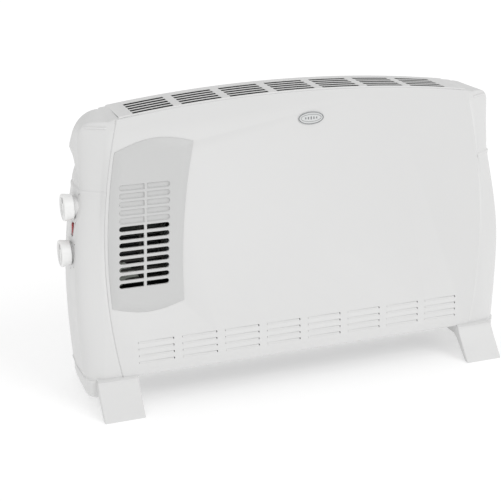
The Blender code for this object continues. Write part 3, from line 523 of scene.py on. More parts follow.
def soft_slot(x0, x1, z0, z1, radius, y0, y1, lean=True):
    """Cutter for a slot in the front or rear sheet, a little wider at the outer face."""
    flare = 0.0004
    rings = []
    for y, grow in ((y0, flare), (y0 + flare + abs(y1 - y0) * 0.2, 0.0), (y1, 0.0)):
        loop = []
        for cx, cz, start in ((x1, z1, 0), (x0, z1, 90), (x0, z0, 180), (x1, z0, 270)):
            sx = 1 if start in (0, 270) else -1
            sz = 1 if start in (0, 90) else -1
            for i in range(4):
                turn = radians(start + 30 * i)
                x = cx - sx * radius + (radius + grow) * cos(turn)
                z = cz - sz * radius + (radius + grow) * sin(turn)
                loop.append((x, y + (front_y(z) if lean else 0.0), z))
        rings.append(loop)
    return skin(rings)


def louvre_places(highest):
    """Left end and height of each louvre, from the highest row down."""
    left = -(LOUVRE_COLUMNS - 1) / 2 * LOUVRE_PITCH_X - LOUVRE_LENGTH / 2
    for row in range(LOUVRE_ROWS):
        for column in range(LOUVRE_COLUMNS):
            yield left + column * LOUVRE_PITCH_X, highest - row * LOUVRE_PITCH_Z


def louvre_strip(x, z):
    """Strip pressed inwards from a slot's lower edge, deeper towards its open right end."""
    low = z - LOUVRE_HEIGHT / 2
    rings = []
    for t in spaced(0.0, 1.0, 14):
        px = mix(x + 0.0004, x + LOUVRE_LENGTH - 0.0011, t)
        reach = mix(0.0012, 0.0040, ease(0.0, 1.0, t) * 0.6 + 0.4 * t)
        reach *= ease(-0.02, 0.10, t) * 0.7 + 0.3
        outer, inner = [], []
        for turn in quarter(6):
            depth = reach * (1 - cos(turn))
            height = low - 0.0006 + (LOUVRE_HEIGHT + 0.0014) * sin(turn)
            base = front_y(height) + 0.0002
            outer.append((px, base + depth, height))
            inner.append((px, base + depth + SHEET * 0.8, height - 0.0002))
        rings.append(outer + inner[::-1])
    return skin(rings)


def build_front_panel():
    """Leaning sheet with the bezel's window and the outlet louvres."""
    panel = piece("front_sheet", pressed_tray(
        0.0, 1, True, lambda z: mix(0.014, 0.023, ease(0.290, 0.345, z))), PAINT, INSIDE_SHADE)
    shape(panel, [leaning_prism(bezel_outline(0.0030), -0.02, 0.02)])
    half, radius = LOUVRE_HEIGHT / 2, LOUVRE_HEIGHT * 0.42
    places = list(louvre_places(LOUVRE_TOP_Z))
    shape(panel, [soft_slot(x, x + LOUVRE_LENGTH, z - half, z + half, radius, -0.0001, 0.006)
                  for x, z in places])
    # Painted shade: the sheet's inner face gets the near-black second material.
    darken_inside(panel, lambda c, n: c.y > front_y(c.z) + SHEET * 0.9 and n.y > 0.5
                  and c.y < front_y(c.z) + 0.004)
    mount(panel, "white_painted_steel", "front_panel")
    louvres = piece("front_louvres", joined([louvre_strip(x, z) for x, z in places]), PAINT)
    mount(louvres, "white_painted_steel", weighted=False)


def build_rear_panel():
    """Upright sheet with the cord's hole and screw holes.

    Its intake slots don't open: soft_slot() folds back on itself when it cuts from the rear.
    """
    panel = piece("rear_sheet", pressed_tray(REAR_Y, -1, False, lambda z: 0.012), PAINT, INSIDE_SHADE)
    outside, inside = REAR_Y + 0.0001, REAR_Y - 0.006
    half = 0.0018
    cutters = [soft_slot(x, x + LOUVRE_LENGTH, z - half, z + half, 0.0016, outside, inside,
                         False) for x, z in louvre_places(REAR_LOUVRE_TOP_Z)]
    left, right, lowest, pitch, height = -0.255, -0.196, 0.172, 0.0095, 0.0045
    for row in range(9):
        z = lowest + row * pitch
        cutters.append(soft_slot(left, right, z, z + height, 0.0021, outside, inside, False))
    holes = [("cord_gland", 0.0078, 32)] + [(f"rear_screw_{n}", 0.0023, 16)
                                            for n in range(1, 7)]
    for node, radius, sides in holes:
        x, _, z = middle_of(node)
        cutters.append(turned("y", (x, z), [(inside, radius), (REAR_Y + 0.003, radius)], sides))
    shape(panel, cutters)
    # Painted shade: the sheet's inner face gets the near-black second material.
    darken_inside(panel, lambda c, n: n.y < -0.5)
    mount(panel, "white_painted_steel", "rear_panel")


# ---- bezel
def bezel_outline(inset):
    """(x, z) loop of the bezel: both sides follow the bowed side of the case."""
    steps = 26
    bottom = BEZEL_BOTTOM_Z + inset
    top = BEZEL_TOP_Z - inset
    right_top = top + 0.0065

    def left(z):
        return -(panel_half(z) - BEZEL_MARGIN) + inset

    def right(z):
        return BEZEL_RIGHT_X + (z - BEZEL_RIGHT_Z) ** 2 / (2 * BEZEL_RIGHT_ARC) - inset

    def bow(x_from, x_to, z_from, z_to, rise):
        return [(mix(x_from, x_to, i / steps),
                 mix(z_from, z_to, i / steps) + rise * sin(pi * i / steps))
                for i in range(1, steps)]

    loop = [(right(z), z) for z in spaced(bottom, right_top, steps)]
    loop += bow(right(right_top), left(top), right_top, top, BEZEL_TOP_RISE)
    loop += [(left(z), z) for z in spaced(top, bottom, steps)]
    loop += bow(left(bottom), right(bottom), bottom, bottom, -BEZEL_BOTTOM_DROP)
    return loop


def fan_slot(z, side, levels):
    """Cutter with a round outer end and a nearly square end at the mullion."""
    drift = FAN_SLOT_DRIFT * (z - FAN_SLOT_TOP_Z)
    middle = (FAN_SLOT_LEFT + FAN_SLOT_RIGHT) / 2 + FAN_MULLION_SHIFT + drift
    inner = middle + side * FAN_MULLION / 2
    outer = (FAN_SLOT_LEFT if side < 0 else FAN_SLOT_RIGHT) + drift
    half = FAN_SLOT_HEIGHT / 2
    small = 0.0010
    rings = []
    for depth, grow in levels:
        loop = []
        for i in range(9):
            turn = pi / 2 - pi * i / 8
            loop.append((outer - side * half + side * (half + grow) * cos(turn),
                         (half + grow) * sin(turn)))
        for start in (-90, -180):
            dz = -1 if start == -90 else 1
            for i in range(4):
                turn = radians(start - 30 * i)
                loop.append((inner + side * small + side * (small + grow) * cos(turn),
                             dz * (half - small) + (small + grow) * sin(turn)))
        rings.append([(x, front_y(z + dz) + depth, z + dz) for x, dz in loop])
    return skin(rings)


def build_bezel():
    """Raised grey grille: blind rows above, open rows below."""
    edge = 0.0009
    profile = [(BEZEL_RIM + 0.0022, -BEZEL_PROUD)]  # (in from the outline, depth)
    profile += [(mix(BEZEL_RIM, 0.0016, t), -mix(edge + 0.0003, BEZEL_PROUD, 1 - t ** 1.6))
                for t in spaced(0.0, 1.0, 6)]
    profile += [(0.0007, -edge - 0.0001), (0.0002, -edge + 0.0003), (0.0, -GAP),
                (0.0034, -GAP), (0.0034, 0.0020), (0.0034 + WALL, 0.0020),
                (BEZEL_RIM, WALL + 0.0008 - BEZEL_PROUD)]
    bezel = piece("fan_grille", skin([on_front(bezel_outline(i), d) for i, d in profile]),
                  GREY, SHADED_BLOWER, SLOT_EDGE_HIGHLIGHT)
    face = -BEZEL_PROUD
    through = [(face - 0.0004, 0.0008), (face + 0.00013, 0.0003), (face + 0.0004, 0.0001),
               (face + 0.0009, 0.0), (0.006, -0.0002)]
    blind = [(face - 0.0004, 0.0007), (face + 0.00013, 0.0003), (face + 0.0005, 0.0),
             (face + 0.0018, -0.0004), (face + 0.0023, -0.0009)]
    cutters, pressings = [], []
    for side in (-1, 1):
        for row in range(FAN_SLOTS_OPEN):
            cutters.append(fan_slot(FAN_SLOT_TOP_Z - row * FAN_SLOT_PITCH, side, through))
        for row in range(1, FAN_SLOTS_BLIND + 1):
            pressings.append(fan_slot(FAN_SLOT_TOP_Z + row * FAN_SLOT_PITCH, side, blind))
    # The open slots' walls get the lighter copy of the grey, a painted highlight.
    shape(bezel, cutters, slot=2)
    shape(bezel, pressings)
    # Painted shade: the bezel's back faces get the near-black blower colour.
    darken_inside(bezel, lambda c, n: n.y > 0.5)
    mount(bezel, "pale_grey_plastic", "fan_bezel")


def build_scroll_lip():
    """Curved guide between the bezel and the blower: it catches light low on the left."""
    rings = []
    for t in spaced(0.0, 1.0, 12):
        z = mix(0.168, 0.216, t)
        reach = mix(0.036, 0.004, ease(0.0, 1.0, t))
        outer, inner = [], []
        for turn in quarter(14):
            x = -0.2640 + reach * (1 - cos(turn))
            y = front_y(z) + 0.0040 + 0.0240 * sin(turn)
            outer.append((x, y, z))
            inner.append((x - 0.0008, y + 0.0012, z))
        rings.append(outer + inner[::-1])
    lip = piece("blower_guide", skin(rings), SCROLL)
    mount(lip, "grey_blower_plastic", weighted=False)


# ---- top grille
def build_top_grille():
    """Arched strip over both panels, with seven groups of five long slots."""
    half = TONGUE_X - SEAM
    thick = GRILLE_RISE
    sheet = 0.0007
    y0 = front_y(CASE_TOP) + 0.0012
    crown = 0.0011
    hem = 0.0016
    section = [(y0, 0.0), (y0 + hem, 0.0), (y0 + hem, thick - sheet),
               (REAR_Y - hem, thick - sheet), (REAR_Y - hem, 0.0), (REAR_Y, 0.0)]
    for centre, start in ((REAR_Y - crown, 0.0), (y0 + crown, pi / 2)):
        section += [(centre + crown * cos(start + turn),
                     thick - crown + crown * sin(start + turn)) for turn in quarter(4)]
    rings = [[(x, y, top_z(x) + z) for y, z in section] for x in spaced(-half, half, 72)]
    grille = piece("outlet_grille", skin(rings), WHITE, INSIDE_SHADE)
    cutters = []
    length = GRILLE_PITCH - GRILLE_RIB
    front = front_y(CASE_TOP) + GRILLE_SLOT_FRONT
    for segment in range(GRILLE_SEGMENTS):
        centre = (segment - (GRILLE_SEGMENTS - 1) / 2) * GRILLE_PITCH + GRILLE_SHIFT
        for slot in range(GRILLE_SLOTS):
            y = front + slot * GRILLE_SLOT_PITCH
            rings = []
            for drop, grow in ((-0.0002, 0.0003), (0.0, 0.0002), (0.0003, 0.0),
                               (0.0100, 0.0)):
                reach = spaced(centre - length / 2 - grow, centre + length / 2 + grow, 5)
                row = [(x, top_z(x) + GRILLE_RISE - drop) for x in reach]
                rings.append([(x, y - grow, z) for x, z in row]
                             + [(x, y + GRILLE_SLOT_WIDTH + grow, z) for x, z in row[::-1]])
            cutters.append(skin(rings))
    shape(grille, cutters)
    # Painted shade: the grille's underside gets the near-black second material.
    darken_inside(grille, lambda c, n: n.z < -0.5)
    mount(grille, "white_plastic", "top_grille")


# ---- end caps and handle caps
def shell_section(outer, inner, side, back, power, front=None, y_rear=REAR_Y,
                  rear_radius=REAR_CORNER, dent=None, grow=0.0, sunk=0.0, bow=0.0):
    """U-shaped section of an end shell, from its inner front edge round to the rear.

    outer, front and inner are (x, z) points.  The section runs from inner out to front along
    the slanting face, then back to outer; the corner between is a superellipse that is back
    deep.  grow moves the whole section outwards, sunk moves its face back, and bow swells
    its side at half depth.
    """
    front = front or outer
    span = dist(front, inner)

    def face(a):
        x = mix(inner[0], front[0], a / span)
        z = mix(inner[1], front[1], a / span)
        return end_face_y(x, z) - grow + sunk

    row = [(0.0, face(0.0))]
    for turn in quarter(36, 1):
        u = sin(turn) ** (2 / power)
        v = 1 - max(0.0, cos(turn)) ** (2 / power)
        row.append((span * u, face(span * u) + back * v))
    side_start = row[-1][1]
    side_end = y_rear - rear_radius
    row += [(span, y) for y in spaced(side_start, side_end, 18)[1:-1]]
    row += [(span - rear_radius * (1 - cos(turn)), side_end + rear_radius * sin(turn))
            for turn in quarter(6)]
    row.append((0.0, y_rear))
    middle = (row[0][1] + y_rear) / 2
    shrink = 1 - 2 * WALL / (y_rear - row[0][1])

    def placed(a, y, thin):
        if dent:
            a -= dent(y) * ease(0.25 * span, 0.8 * span, a)
        turn = ease(side_start, side_end, y)
        swell = grow + bow * sin(pi * turn)
        end = (mix(front[0], outer[0], turn) + swell, mix(front[1], outer[1], turn))
        t = a / span * (1 - thin * WALL / span)
        if thin:
            y = middle + (y - middle) * shrink
        return (side * mix(inner[0], end[0], t), y, mix(inner[1], end[1], t))

    return [placed(a, y, 0) for a, y in row] + [placed(a, y, 1) for a, y in reversed(row)]


def cap_corner_depth(z):
    """How far back an end cap's rounded front corner reaches."""
    return mix(*CAP_CORNER_DEPTH, ease(*CAP_CORNER_Z, z))


def cap_swell(z):
    """How far an end cap's side bulges at half depth."""
    return min(SIDE_SWELL, CAP_HALF - 0.0005 - cap_half(z))


def cap_side_x(y, z):
    """Outer face of an end cap's side, at depth y."""
    start = end_face_y(cap_half(z), z) + cap_corner_depth(z)
    return cap_half(z) + cap_swell(z) * sin(pi * ease(start, REAR_Y - REAR_CORNER, y))


def end_cap_rings(side):
    """Level sections of an end cap, with a fine ledge along its top and bottom edges."""
    top = SPLIT_Z
    heights = [CASE_BOTTOM + up
               for up in (0.0, 0.0003, 0.0007, 0.0011, 0.0015, 0.0020, 0.0030)]
    heights += spaced(CASE_BOTTOM + 0.005, top - 0.004, 60)
    heights += [top - down for down in (0.0030, 0.0024, 0.0018, 0.0012, 0.0006, 0.0)]
    rings = []
    for z in heights:
        ledge = CAP_LEDGE_HIGH * (ease(top - 0.010, top - 0.003, z) - ease(top - 0.0024, top, z))
        ledge += CAP_LEDGE_LOW * (1 - ease(CASE_BOTTOM + 0.0009, CASE_BOTTOM + 0.0022, z))
        power = mix(*CAP_POWER, ease(*CAP_CORNER_Z, z))
        rings.append(shell_section((cap_half(z), z), (panel_half(z) + SEAM, z), side,
                                   cap_corner_depth(z), power, grow=ledge, bow=cap_swell(z)))
    return rings


RIDGE_FRONT = (0.0300, 0.3050)  # (y, z) of the front end of the finger grip's upper edge
RIDGE_REAR = (0.0830, 0.3460)  # and of its rear end
GRIP_DEPTH = 0.0080
GRIP_FADE_Z = (0.3400, 0.3030)  # the grip fades out downwards between these heights


def grip_dent(z):
    """Depth of the finger grip at height z, as a function of y."""
    def dent(y):
        t = (y - RIDGE_FRONT[0]) / (RIDGE_REAR[0] - RIDGE_FRONT[0])
        ridge = mix(RIDGE_FRONT[1], RIDGE_REAR[1], min(1.05, max(-0.4, t)))
        below = ease(0.0, 0.0040, ridge - z)
        fade = 1 - ease(*GRIP_FADE_Z, z)
        shallow = mix(0.45, 1.0, ease(0.026, 0.056, y))
        return GRIP_DEPTH * below * fade * shallow * ease(0.022, 0.034, y)
    return dent


def handle_lobe(z):
    """How far the handle's lobe stands out above the grip."""
    return LOBE_PROUD * exp(-((z - LOBE_Z) / LOBE_REACH) ** 2)


def handle_rings(side):
    """Side, rounded corner and top tongue of a handle cap, in one run of sections."""
    start = SPLIT_Z - 0.0003
    rings = []
    for z in spaced(start, HANDLE_CORNER_Z, 60):
        x = mix(cap_half(start), HANDLE_CORNER_X + HANDLE_CORNER_RX,
                ease(start, HANDLE_CORNER_Z, z)) - 0.0003
        inner_z = mix(start, HANDLE_BESIDE_Z, (z - start) / (HANDLE_CORNER_Z - start))
        rings.append(shell_section(
            (x + handle_lobe(z), z), (panel_half(inner_z) + SEAM, inner_z), side,
            HANDLE_CORNER_DEPTH, HANDLE_POWER, front=(x, z), dent=grip_dent(z),
            bow=SIDE_SWELL * (1 - ease(0.316, HANDLE_CORNER_Z, z))))
    turns = 48
    square = 2 / HANDLE_FRONT_POWER
    for i in range(1, turns + 1):
        t = i / turns
        turn = pi / 2 * t
        outer = (HANDLE_CORNER_X + HANDLE_CORNER_RX * cos(turn),
                 HANDLE_CORNER_Z + HANDLE_CORNER_RZ * sin(turn))
        across = (HANDLE_CORNER_RX - 0.0003) * max(0.0, cos(turn)) ** square
        front = (HANDLE_CORNER_X + across,
                 HANDLE_CORNER_Z + HANDLE_FRONT_RZ * sin(turn) ** square)
        inner_z = mix(HANDLE_BESIDE_Z, HANDLE_OVER_Z, t)
        dent = grip_dent(outer[1]) if outer[1] < RIDGE_REAR[1] + 0.008 else None
        rings.append(shell_section(
            (outer[0] + handle_lobe(outer[1]), outer[1]), (panel_half(inner_z) + SEAM, inner_z),
            side, mix(HANDLE_CORNER_DEPTH, 0.0050, ease(0.05, 0.40, t)),
            mix(HANDLE_POWER, 4.5, t), front=front, dent=dent,
            y_rear=REAR_Y if i < turns else REAR_Y - SHEET - GAP))
    for t in spaced(0.0, 1.0, 8)[1:]:
        x = mix(HANDLE_CORNER_X, TONGUE_X, t)
        top = top_z(x) + GRILLE_RISE
        inner = (mix(panel_half(HANDLE_OVER_Z) + SEAM, TONGUE_X, t),
                 mix(HANDLE_OVER_Z, TONGUE_INNER_Z, t))
        rings.append(shell_section(
            (x, top), inner, side, 0.0045, 4.0, front=(x, top - mix(0.0040, 0.0012, t)),
            y_rear=REAR_Y - SHEET - GAP, rear_radius=0.006, sunk=0.0014 * ease(0.35, 0.75, t)))
    return rings


def add_bead(handle, side):
    """Fine raised line across the handle's face, just below its top edge."""
    points = [v.co - HOME for v in handle.data.vertices]
    tree = BVHTree.FromPolygons(points, [tuple(f.vertices) for f in handle.data.polygons])
    rings = []
    for t in spaced(0.0, 1.0, 26):
        x = side * mix(*BEAD_X, t)
        hit = tree.ray_cast(Vector((x, -0.2, BEAD_Z)), Vector((0.0, 1.0, 0.0)))[0]
        radius = 0.0014 * ease(0.0, 0.08, t) * ease(0.0, 0.08, 1 - t) + 0.0001
        rings.append([(x, y, z) for y, z in around(hit.y, BEAD_Z, radius, radius, 12)])
    bead = piece(f"{handle.name}_bead", skin(rings), WHITE)
    mount(bead, "white_plastic", angle=60, weighted=False)


def build_ends():
    """An end cap and a handle cap at each end, with the controls' seats in the left one."""
    for side, word in ((-1, "left"), (1, "right")):
        cap = piece(f"{word}_cap_shell", skin(end_cap_rings(side)), WHITE)
        if side < 0:
            add_control_seats(cap)
        mount(cap, "white_plastic", f"{word}_end_cap", angle=40)
        handle = piece(f"{word}_handle_shell", skin(handle_rings(side)), WHITE)
        add_bead(handle, side)
        mount(handle, "white_plastic", f"{word}_handle_cap", angle=40, weighted=False)


def control_axis(word):
    """y and z of a control's axis, the x of its knob's outer face, and the knob's length."""
    low, high = local_box(f"{word}_knob")
    _, y, z = middle_of(f"{word}_knob")
    return y, z, low.x, high.x - low.x


def add_control_seats(cap):
    """Round bosses behind the knobs, bored for their shafts, and the lens window."""
    bosses, bores = [], []
    for word in ("thermostat", "selector"):
        y, z, face, length = control_axis(word)
        seat = face + length + GAP
        bosses.append(turned("x", (y, z), [(seat, 0.0118), (seat + 0.0006, 0.0126),
                                           (-cap_half(z) + 0.0060, 0.0130)], 64))
        bores.append(turned("x", (y, z), [(seat - 0.01, 0.0037), (seat + 0.03, 0.0037)], 32))
    shape(cap, bosses, "UNION")
    low, high = local_box("indicator_lens")
    bores.append(block(-0.33, -0.29, low.y - GAP, high.y + GAP, low.z - GAP, high.z + GAP))
    shape(cap, bores)


# ---- feet
def foot_outline(front_toe, rear_toe):
    """(y, z) side view of a foot's bearer and its two splayed legs."""
    top = FOOT_TOP_Z
    halves = []
    for sign, lip, toe in ((1, FOOT_FRONT_Y, front_toe), (-1, FOOT_REAR_Y, rear_toe)):
        half = [(lip, top + 0.004), (lip, top - 0.0005)]
        half += [(mix(lip - sign * 0.0006, toe, t ** 1.10), mix(top - 0.0030, 0.0, t))
                 for t in spaced(0.0, 1.0, 8)]
        half.append((toe + sign * LEG_THICKNESS, 0.0))
        half += [(mix(toe, lip, t ** 0.95) + sign * LEG_THICKNESS, mix(0.0, FOOT_ARCH_Z, t))
                 for t in spaced(0.0, 1.0, 7)[1:-1]]
        half.append((lip + sign * (LEG_THICKNESS + 0.004), FOOT_ARCH_Z))
        halves.append(half)
    return halves[0] + halves[1][::-1]


def shell_front_y(x, z):
    """Front of the case at its lower edge: the panel, then the end cap round to its side."""
    if x < panel_half(z):
        return front_y(z)
    u = (x - panel_half(z)) / (cap_half(z) - panel_half(z))
    back = CAP_CORNER_DEPTH[0] * (1 - (1 - u ** CAP_POWER[0]) ** (1 / CAP_POWER[0]))
    return end_face_y(x, z) - CAP_LEDGE_LOW + back


def foot_ledge(side, inner_x):
    """Solid that slopes up from the front of a foot's bearer to the front of the case."""
    top = FOOT_TOP_Z
    y0 = FOOT_FRONT_Y + 0.0004
    rings = []
    for x in spaced(inner_x + 0.0004, FOOT_OUTER_X - 0.0004, 12):
        y1 = shell_front_y(x, top + 0.0019) - 0.0002
        rings.append([(side * x, y, z) for y, z in (
            (y0, top - 0.0020), (y0, top + 0.0003), (y0 + 0.0005, top + 0.0008),
            (y1, top + 0.0019), (y1, top - 0.0020))])
    return skin(rings)


def foot_shoe(side):
    """Solid that carries the end cap's outline down and curls in under it."""
    rings = []
    for t in spaced(0.0, 1.0, 16):
        z = mix(SHOE_LOW_Z, FOOT_TOP_Z, 1 - cos(pi / 2 * t)) if t < 1 else FOOT_TOP_Z
        drop = max(0.0, (SHOE_FULL_Z - z) / (SHOE_FULL_Z - SHOE_LOW_Z))
        full = sqrt(max(0.0, 1 - drop ** 2))
        y0 = mix(0.0260, -0.0010, full)
        y1 = FOOT_REAR_Y - 0.0010 - (y0 + 0.0010) * 0.5
        outer = mix(SHOE_CURL_X, cap_half(CASE_BOTTOM), full)
        rings.append(shoe_loop(side, SHOE_INNER_X, outer, y0, y1, z))
    return skin(rings)


def shoe_loop(side, x0, x1, y0, y1, z):
    """Plan of a foot's shoe: square inside, generously rounded at its outer corners."""
    radius_x = (x1 - x0) * 0.62
    radius_y = 0.0190
    loop = [(x0, y0)]
    loop += [(x1 - radius_x + radius_x * sin(turn),
              y0 + 0.0022 + radius_y * (1 - cos(turn))) for turn in quarter(12)]
    loop += [(x1 - radius_x + radius_x * cos(turn),
              y1 - radius_y + radius_y * sin(turn)) for turn in quarter(12)]
    loop.append((x0, y1))
    return [(side * x, y, z) for x, y in loop]


def build_feet():
    """Each foot is one moulding of legs, ledge and shoe, with deep holes for its screws."""
    hole = [(0.0, 0.0042), (FOOT_ARCH_Z + 0.005, 0.0042), (FOOT_ARCH_Z + 0.0051, 0.0023),
            (0.06, 0.0023)]
    screws = [middle_of(f"foot_screw_{number}") for number in range(1, 5)]
    for side, word in ((-1, "left"), (1, "right")):
        low, high = local_box(f"{word}_foot")
        inner_x = min(abs(low.x), abs(high.x))
        legs = prism_x(foot_outline(low.y, high.y), side * inner_x, side * FOOT_OUTER_X)
        foot = piece(f"{word}_foot_moulding", legs, WHITE)
        soften(foot, 0.0014, 4, 40)
        shape(foot, [block(side * 0.20, side * 0.35, -0.1, 0.2, FOOT_TOP_Z, FOOT_TOP_Z + 0.02)])
        shape(foot, [foot_ledge(side, inner_x)], "UNION")
        shape(foot, [foot_shoe(side)], "UNION")
        shape(foot, [turned("z", (x, y), hole, 24) for x, y, _ in screws if x * side > 0])
        mount(foot, "white_plastic", f"{word}_foot", angle=38)


# ---- badge
def build_badge():
    """Domed oval with a darker rim, and five plain bars in place of a name."""
    low, high = local_box("badge")
    cx, _, cz = middle_of("badge")
    rx, rz = (high.x - low.x) / 2, (high.z - low.z) / 2

    def oval(half_x, half_z, depth):
        return on_front(around(cx, cz, half_x, half_z, 72), depth)

    def band(outer, inner, low_depth, high_depth):
        """Raised ring between two insets from the badge's edge."""
        middle = (outer + inner) / 2
        return skin([oval(rx - outer, rz - outer, low_depth),
                     oval(rx - outer - 0.0001, rz - outer - 0.0001, high_depth),
                     oval(rx - middle, rz - middle, high_depth - 0.0002),
                     oval(rx - inner + 0.0001, rz - inner + 0.0001, high_depth),
                     oval(rx - inner, rz - inner, low_depth)], closed_along=True)

    plate = skin([oval(rx, rz, -0.0003), oval(rx - 0.0001, rz - 0.0001, -0.0008),
                  oval(rx * 0.8, rz * 0.7, -0.0011), oval(rx * 0.4, rz * 0.35, -0.0012)])
    mount(piece("badge_plate", plate, SILVER), "satin_badge", "badge")
    mount(piece("badge_rim", band(0.0006, 0.0020, -0.0007, -0.0013), RING_GREY), "satin_badge")
    mount(piece("badge_line", band(0.0040, 0.0047, -0.0008, -0.0013), RING_GREY), "satin_badge")
    bars = []
    half = 0.0009
    for place in range(-2, 3):
        x = cx + place * 0.0040
        height = 0.0021 - 0.0004 * abs(place)
        bars.append(leaning_prism([(x - half, cz - height), (x + half, cz - height),
                                   (x + half, cz + height), (x - half, cz + height)],
                                  -0.0014, -0.0008))
    marks = piece("badge_bars", joined(bars), RING_GREY)
    soften(marks, 0.0002, 2)
    mount(marks, "satin_badge")


# ---- controls
def knob_stations(face, back, radius):
    """(x, radius) stations of a knob: a dished face, a rounded rim and a tapering side."""
    stations = [(face + 0.0013, radius - 0.0060), (face + 0.0013, radius - 0.0032),
                (face + 0.0004, radius - 0.0024)]
    stations += [(face + 0.0016 * (1 - cos(turn)), radius - 0.0018 * (1 - sin(turn)))
                 for turn in quarter(5)]
    stations += [(mix(face + 0.0030, back, t), mix(radius, radius - 0.0016, t))
                 for t in (0.0, 0.5, 0.96)]
    return stations + [(back, radius - 0.0022)]


def knob_pocket(y, z, radius, face, sign):
    """Cutter for the hollow on one side of a knob's grip bar."""
    edge = radius - 0.0036
    outline = []
    for degrees in spaced(-64, 64, 16):
        turn = radians(degrees)
        outline.append((y + sign * edge * cos(turn), z + edge * sin(turn)))
    for t in (1.0, 0.5, 0.0):
        outline.append((y + sign * (0.0030 + 0.0008 * (2 * t - 1) ** 2),
                        z + mix(-1, 1, t) * (radius - 0.0052)))
    return prism_x(outline, face - 0.002, face + 0.0064)


def build_controls():
    """Knobs with a bored back, a grip bar between two hollows, and a pointer let into it."""
    for word in ("thermostat", "selector"):
        y, z, face, length = control_axis(word)
        low, high = local_box(f"{word}_knob")
        radius = (high.z - low.z) / 2
        back = face + length
        knob = piece(f"{word}_dial", turned("x", (y, z), knob_stations(face, back, radius), 96),
                     KNOB_WHITE)
        shape(knob, [knob_pocket(y, z, radius, face, sign) for sign in (-1, 1)])
        shape(knob, [turned("x", (y, z), [(back - 0.0062, 0.0034), (back + 0.002, 0.0034)], 32)])
        inner, outer = z + radius - 0.0125, z + radius - 0.0050
        shape(knob, [block(face + 0.0005, face + 0.0030, y - 0.0006, y + 0.0006, inner, outer)])
        soften(knob, 0.0004, 2, 40)
        mount(knob, "white_plastic", f"{word}_knob", body=word, angle=40)
        pointer = piece(f"{word}_pointer",
                        block(face + 0.0009, face + 0.0014, y - 0.0005, y + 0.0005,
                              z + radius - 0.0124, z + radius - 0.0051), MARK)
        mount(pointer, "white_plastic", body=word, angle=0)
    build_dial_marks()
    build_lens()


def build_dial_marks():
    """Plain printed ticks round both controls, proud of the cap by a paint's thickness."""
    ticks = []
    for word, first, last, count in (("thermostat", 0, 270, 10), ("selector", 0, 180, 5)):
        y, z, _, _ = control_axis(word)
        for i in range(count):
            turn = radians(90 + mix(first, last, i / (count - 1)))
            radial = (cos(turn), sin(turn))
            length = 0.0012 if word == "thermostat" else 0.0014
            cy, cz = y + DIAL_RADIUS * radial[0], z + DIAL_RADIUS * radial[1]
            if cy < DIAL_FRONT_Y or cz > SPLIT_Z - 0.003:
                continue
            corners = []
            for a, b in ((-1, -1), (1, -1), (1, 1), (-1, 1)):
                corners.append((cy + a * length * radial[0] - b * 0.0005 * radial[1],
                                cz + a * length * radial[1] + b * 0.0005 * radial[0]))
            ticks.append(skin([[(-cap_side_x(p, q) + depth, p, q) for p, q in corners]
                               for depth in (-0.00008, 0.0004)]))
    mount(piece("dial_marks", joined(ticks), MARK), "white_plastic", angle=0)


def build_lens():
    """Domed capsule of clear red plastic between the knobs."""
    low, high = local_box("indicator_lens")
    _, cy, cz = middle_of("indicator_lens")
    half_y, half_z = (high.y - low.y) / 2, (high.z - low.z) / 2
    rings = []
    for t in spaced(0.0, 1.0, 8):
        x = low.x + 0.0020 * (1 - cos(pi / 2 * t))
        scale = 0.25 + 0.75 * sin(pi / 2 * t)
        loop = []
        for k in range(40):
            turn = tau * k / 40
            shift = (half_z - half_y) * (1 if sin(turn) >= 0 else -1)
            loop.append((x, cy + half_y * scale * cos(turn),
                         cz + shift * mix(0.8, 1.0, t) + half_y * scale * sin(turn)))
        rings.append(loop)
    rings.append([(high.x, y, z) for _, y, z in rings[-1]])
    mount(piece("indicator_window", skin(rings), LENS), "red_lens", "indicator_lens", angle=60)


# ---- fasteners
def build_screws():
    """Pan-head screws with a cross recess."""
    plans = [(f"rear_screw_{n}", "y") for n in range(1, 7)]
    plans += [(f"foot_screw_{n}", "z") for n in range(1, 5)]
    for node, axis in plans:
        low, high = local_box(node)
        x, y, z = middle_of(node)
        if axis == "y":
            centre, face, tip, sign = (x, z), high.y, low.y, -1
        else:
            centre, face, tip, sign = (x, y), low.z, high.z, 1
        radius = (high.x - low.x) / 2
        seat = face + sign * 0.0019
        stations = [(face, radius * 0.30)]
        stations += [(face + sign * 0.0014 * (1 - cos(turn)),
                      radius * (0.30 + 0.70 * sin(turn))) for turn in quarter(5, 1)]
        stations += [(seat, radius), (seat, 0.0016)]
        stations += [(mix(seat, tip, i / 9), 0.0017 if i % 2 else 0.00135) for i in range(1, 9)]
        stations.append((tip, 0.0006))
        screw = piece(node.replace("screw", "fixing"), turned(axis, centre, stations, 28), ZINC)
        ends = sorted((face - sign * 0.001, face + sign * 0.0011))
        for wide, tall in ((0.0021, 0.00042), (0.00042, 0.0021)):
            spans = [(centre[0] - wide, centre[0] + wide), (centre[1] - tall, centre[1] + tall)]
            spans.insert(1 if axis == "y" else 2, ends)
            shape(screw, [block(*spans[0], *spans[1], *spans[2])])
        mount(screw, "zinc_screw", node, angle=40)


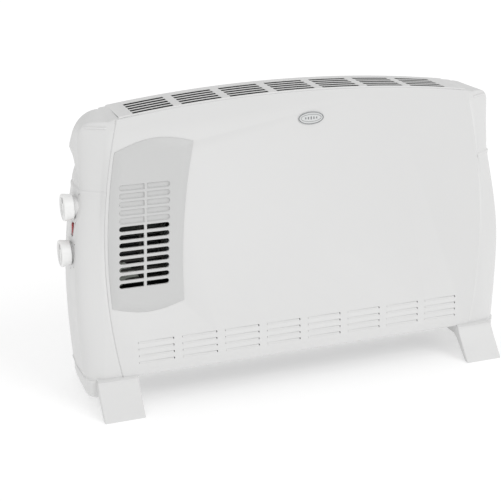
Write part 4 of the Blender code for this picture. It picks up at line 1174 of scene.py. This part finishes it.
# ---- pieces kept from the CAD
def dress_frame():
    """Materials of the CAD nodes that stay, most of them inside the case."""
    # The near-black steel, fin and blower colours here are painted shade, which keeps the inside
    # dark.
    kept = {
        STEEL: ["control_bracket", "motor_bracket", "thermostat_shaft", "selector_shaft",
                "fan_shaft", "fan_motor", "thermal_cutout"],
        SHADED_STEEL: ["base_plate", "left_element_bracket", "right_element_bracket",
                     "partition_plate", "fan_impeller"],
        SHADED_FIN: ["upper_heating_element", "lower_heating_element", "heat_shield"],
        PHENOLIC: ["thermostat_body", "selector_switch"],
        SHADED_BLOWER: ["fan_housing"],
        MICA: ["fan_heater_grid"],
        NYLON: ["terminal_block", "wiring_loom"],
        RUBBER: ["cord_gland"],
    }
    for material, names in kept.items():
        for name in names:
            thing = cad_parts[name]
            thing.data.materials.clear()
            thing.data.materials.append(material)


# ---- floor, light and camera
def build_stage():
    """Pale floor, even white surroundings, and two broad suns."""
    floor_mesh = bpy.data.meshes.new("floor")
    reach = 14.0
    floor_mesh.from_pydata([(-reach, -reach, 0), (reach, -reach, 0), (reach, reach, 0),
                            (-reach, reach, 0)], [], [(0, 1, 2, 3)])
    floor = added("floor", floor_mesh)
    material = bpy.data.materials.new("pale_floor")
    material.use_nodes = True
    fill(material.node_tree.nodes["Principled BSDF"],
         {"Base Color": (0.70, 0.70, 0.70, 1.0), "Emission Color": (1.0, 1.0, 1.0, 1.0),
          "Emission Strength": 0.40, "Roughness": 0.85, "Specular IOR Level": 0.1})
    floor_mesh.materials.append(material)
    world = bpy.data.worlds.new("studio")
    bpy.context.scene.world = world
    world.use_nodes = True
    fill(world.node_tree.nodes["Background"], {"Color": (1.0, 1.0, 1.0, 1.0), "Strength": 0.775})
    for name, azimuth, elevation, strength, spread in (("key", 38, 38, 0.64, 36),
                                                       ("front_fill", -24, 12, 0.34, 60)):
        sun = bpy.data.lights.new(name, "SUN")
        sun.energy = strength
        sun.angle = radians(spread)
        lamp = added(name, sun)
        turn, rise = radians(azimuth), radians(elevation)
        towards = Vector((sin(turn) * cos(rise), -cos(turn) * cos(rise), sin(rise)))
        lamp.rotation_euler = towards.to_track_quat("Z", "Y").to_euler()
    bpy.context.scene.view_settings.view_transform = "Standard"


def build_camera():
    """Standing to the left of the heater, looking down at it and to the right."""
    data = bpy.data.cameras.new("camera")
    data.sensor_width = 36.0
    data.lens = 84.006
    data.clip_end = 60.0
    camera = added("camera", data)
    yaw, pitch, roll = radians(19.98345), radians(20.33), radians(0.0364)
    ahead = Vector((sin(yaw) * cos(pitch), cos(yaw) * cos(pitch), -sin(pitch)))
    right = Vector((cos(yaw), -sin(yaw), 0.0))
    up = right.cross(ahead)
    axes = (cos(roll) * right + sin(roll) * up, cos(roll) * up - sin(roll) * right, -ahead)
    place = Matrix.Translation(HOME + Vector((-0.59135, -1.40299, 0.75785)))
    camera.matrix_world = place @ Matrix(axes).transposed().to_4x4()
    bpy.context.scene.camera = camera


build_camera()
build_stage()
build_front_panel()
build_rear_panel()
build_bezel()
build_scroll_lip()
build_top_grille()
build_ends()
build_feet()
build_badge()
build_controls()
build_screws()
dress_frame()
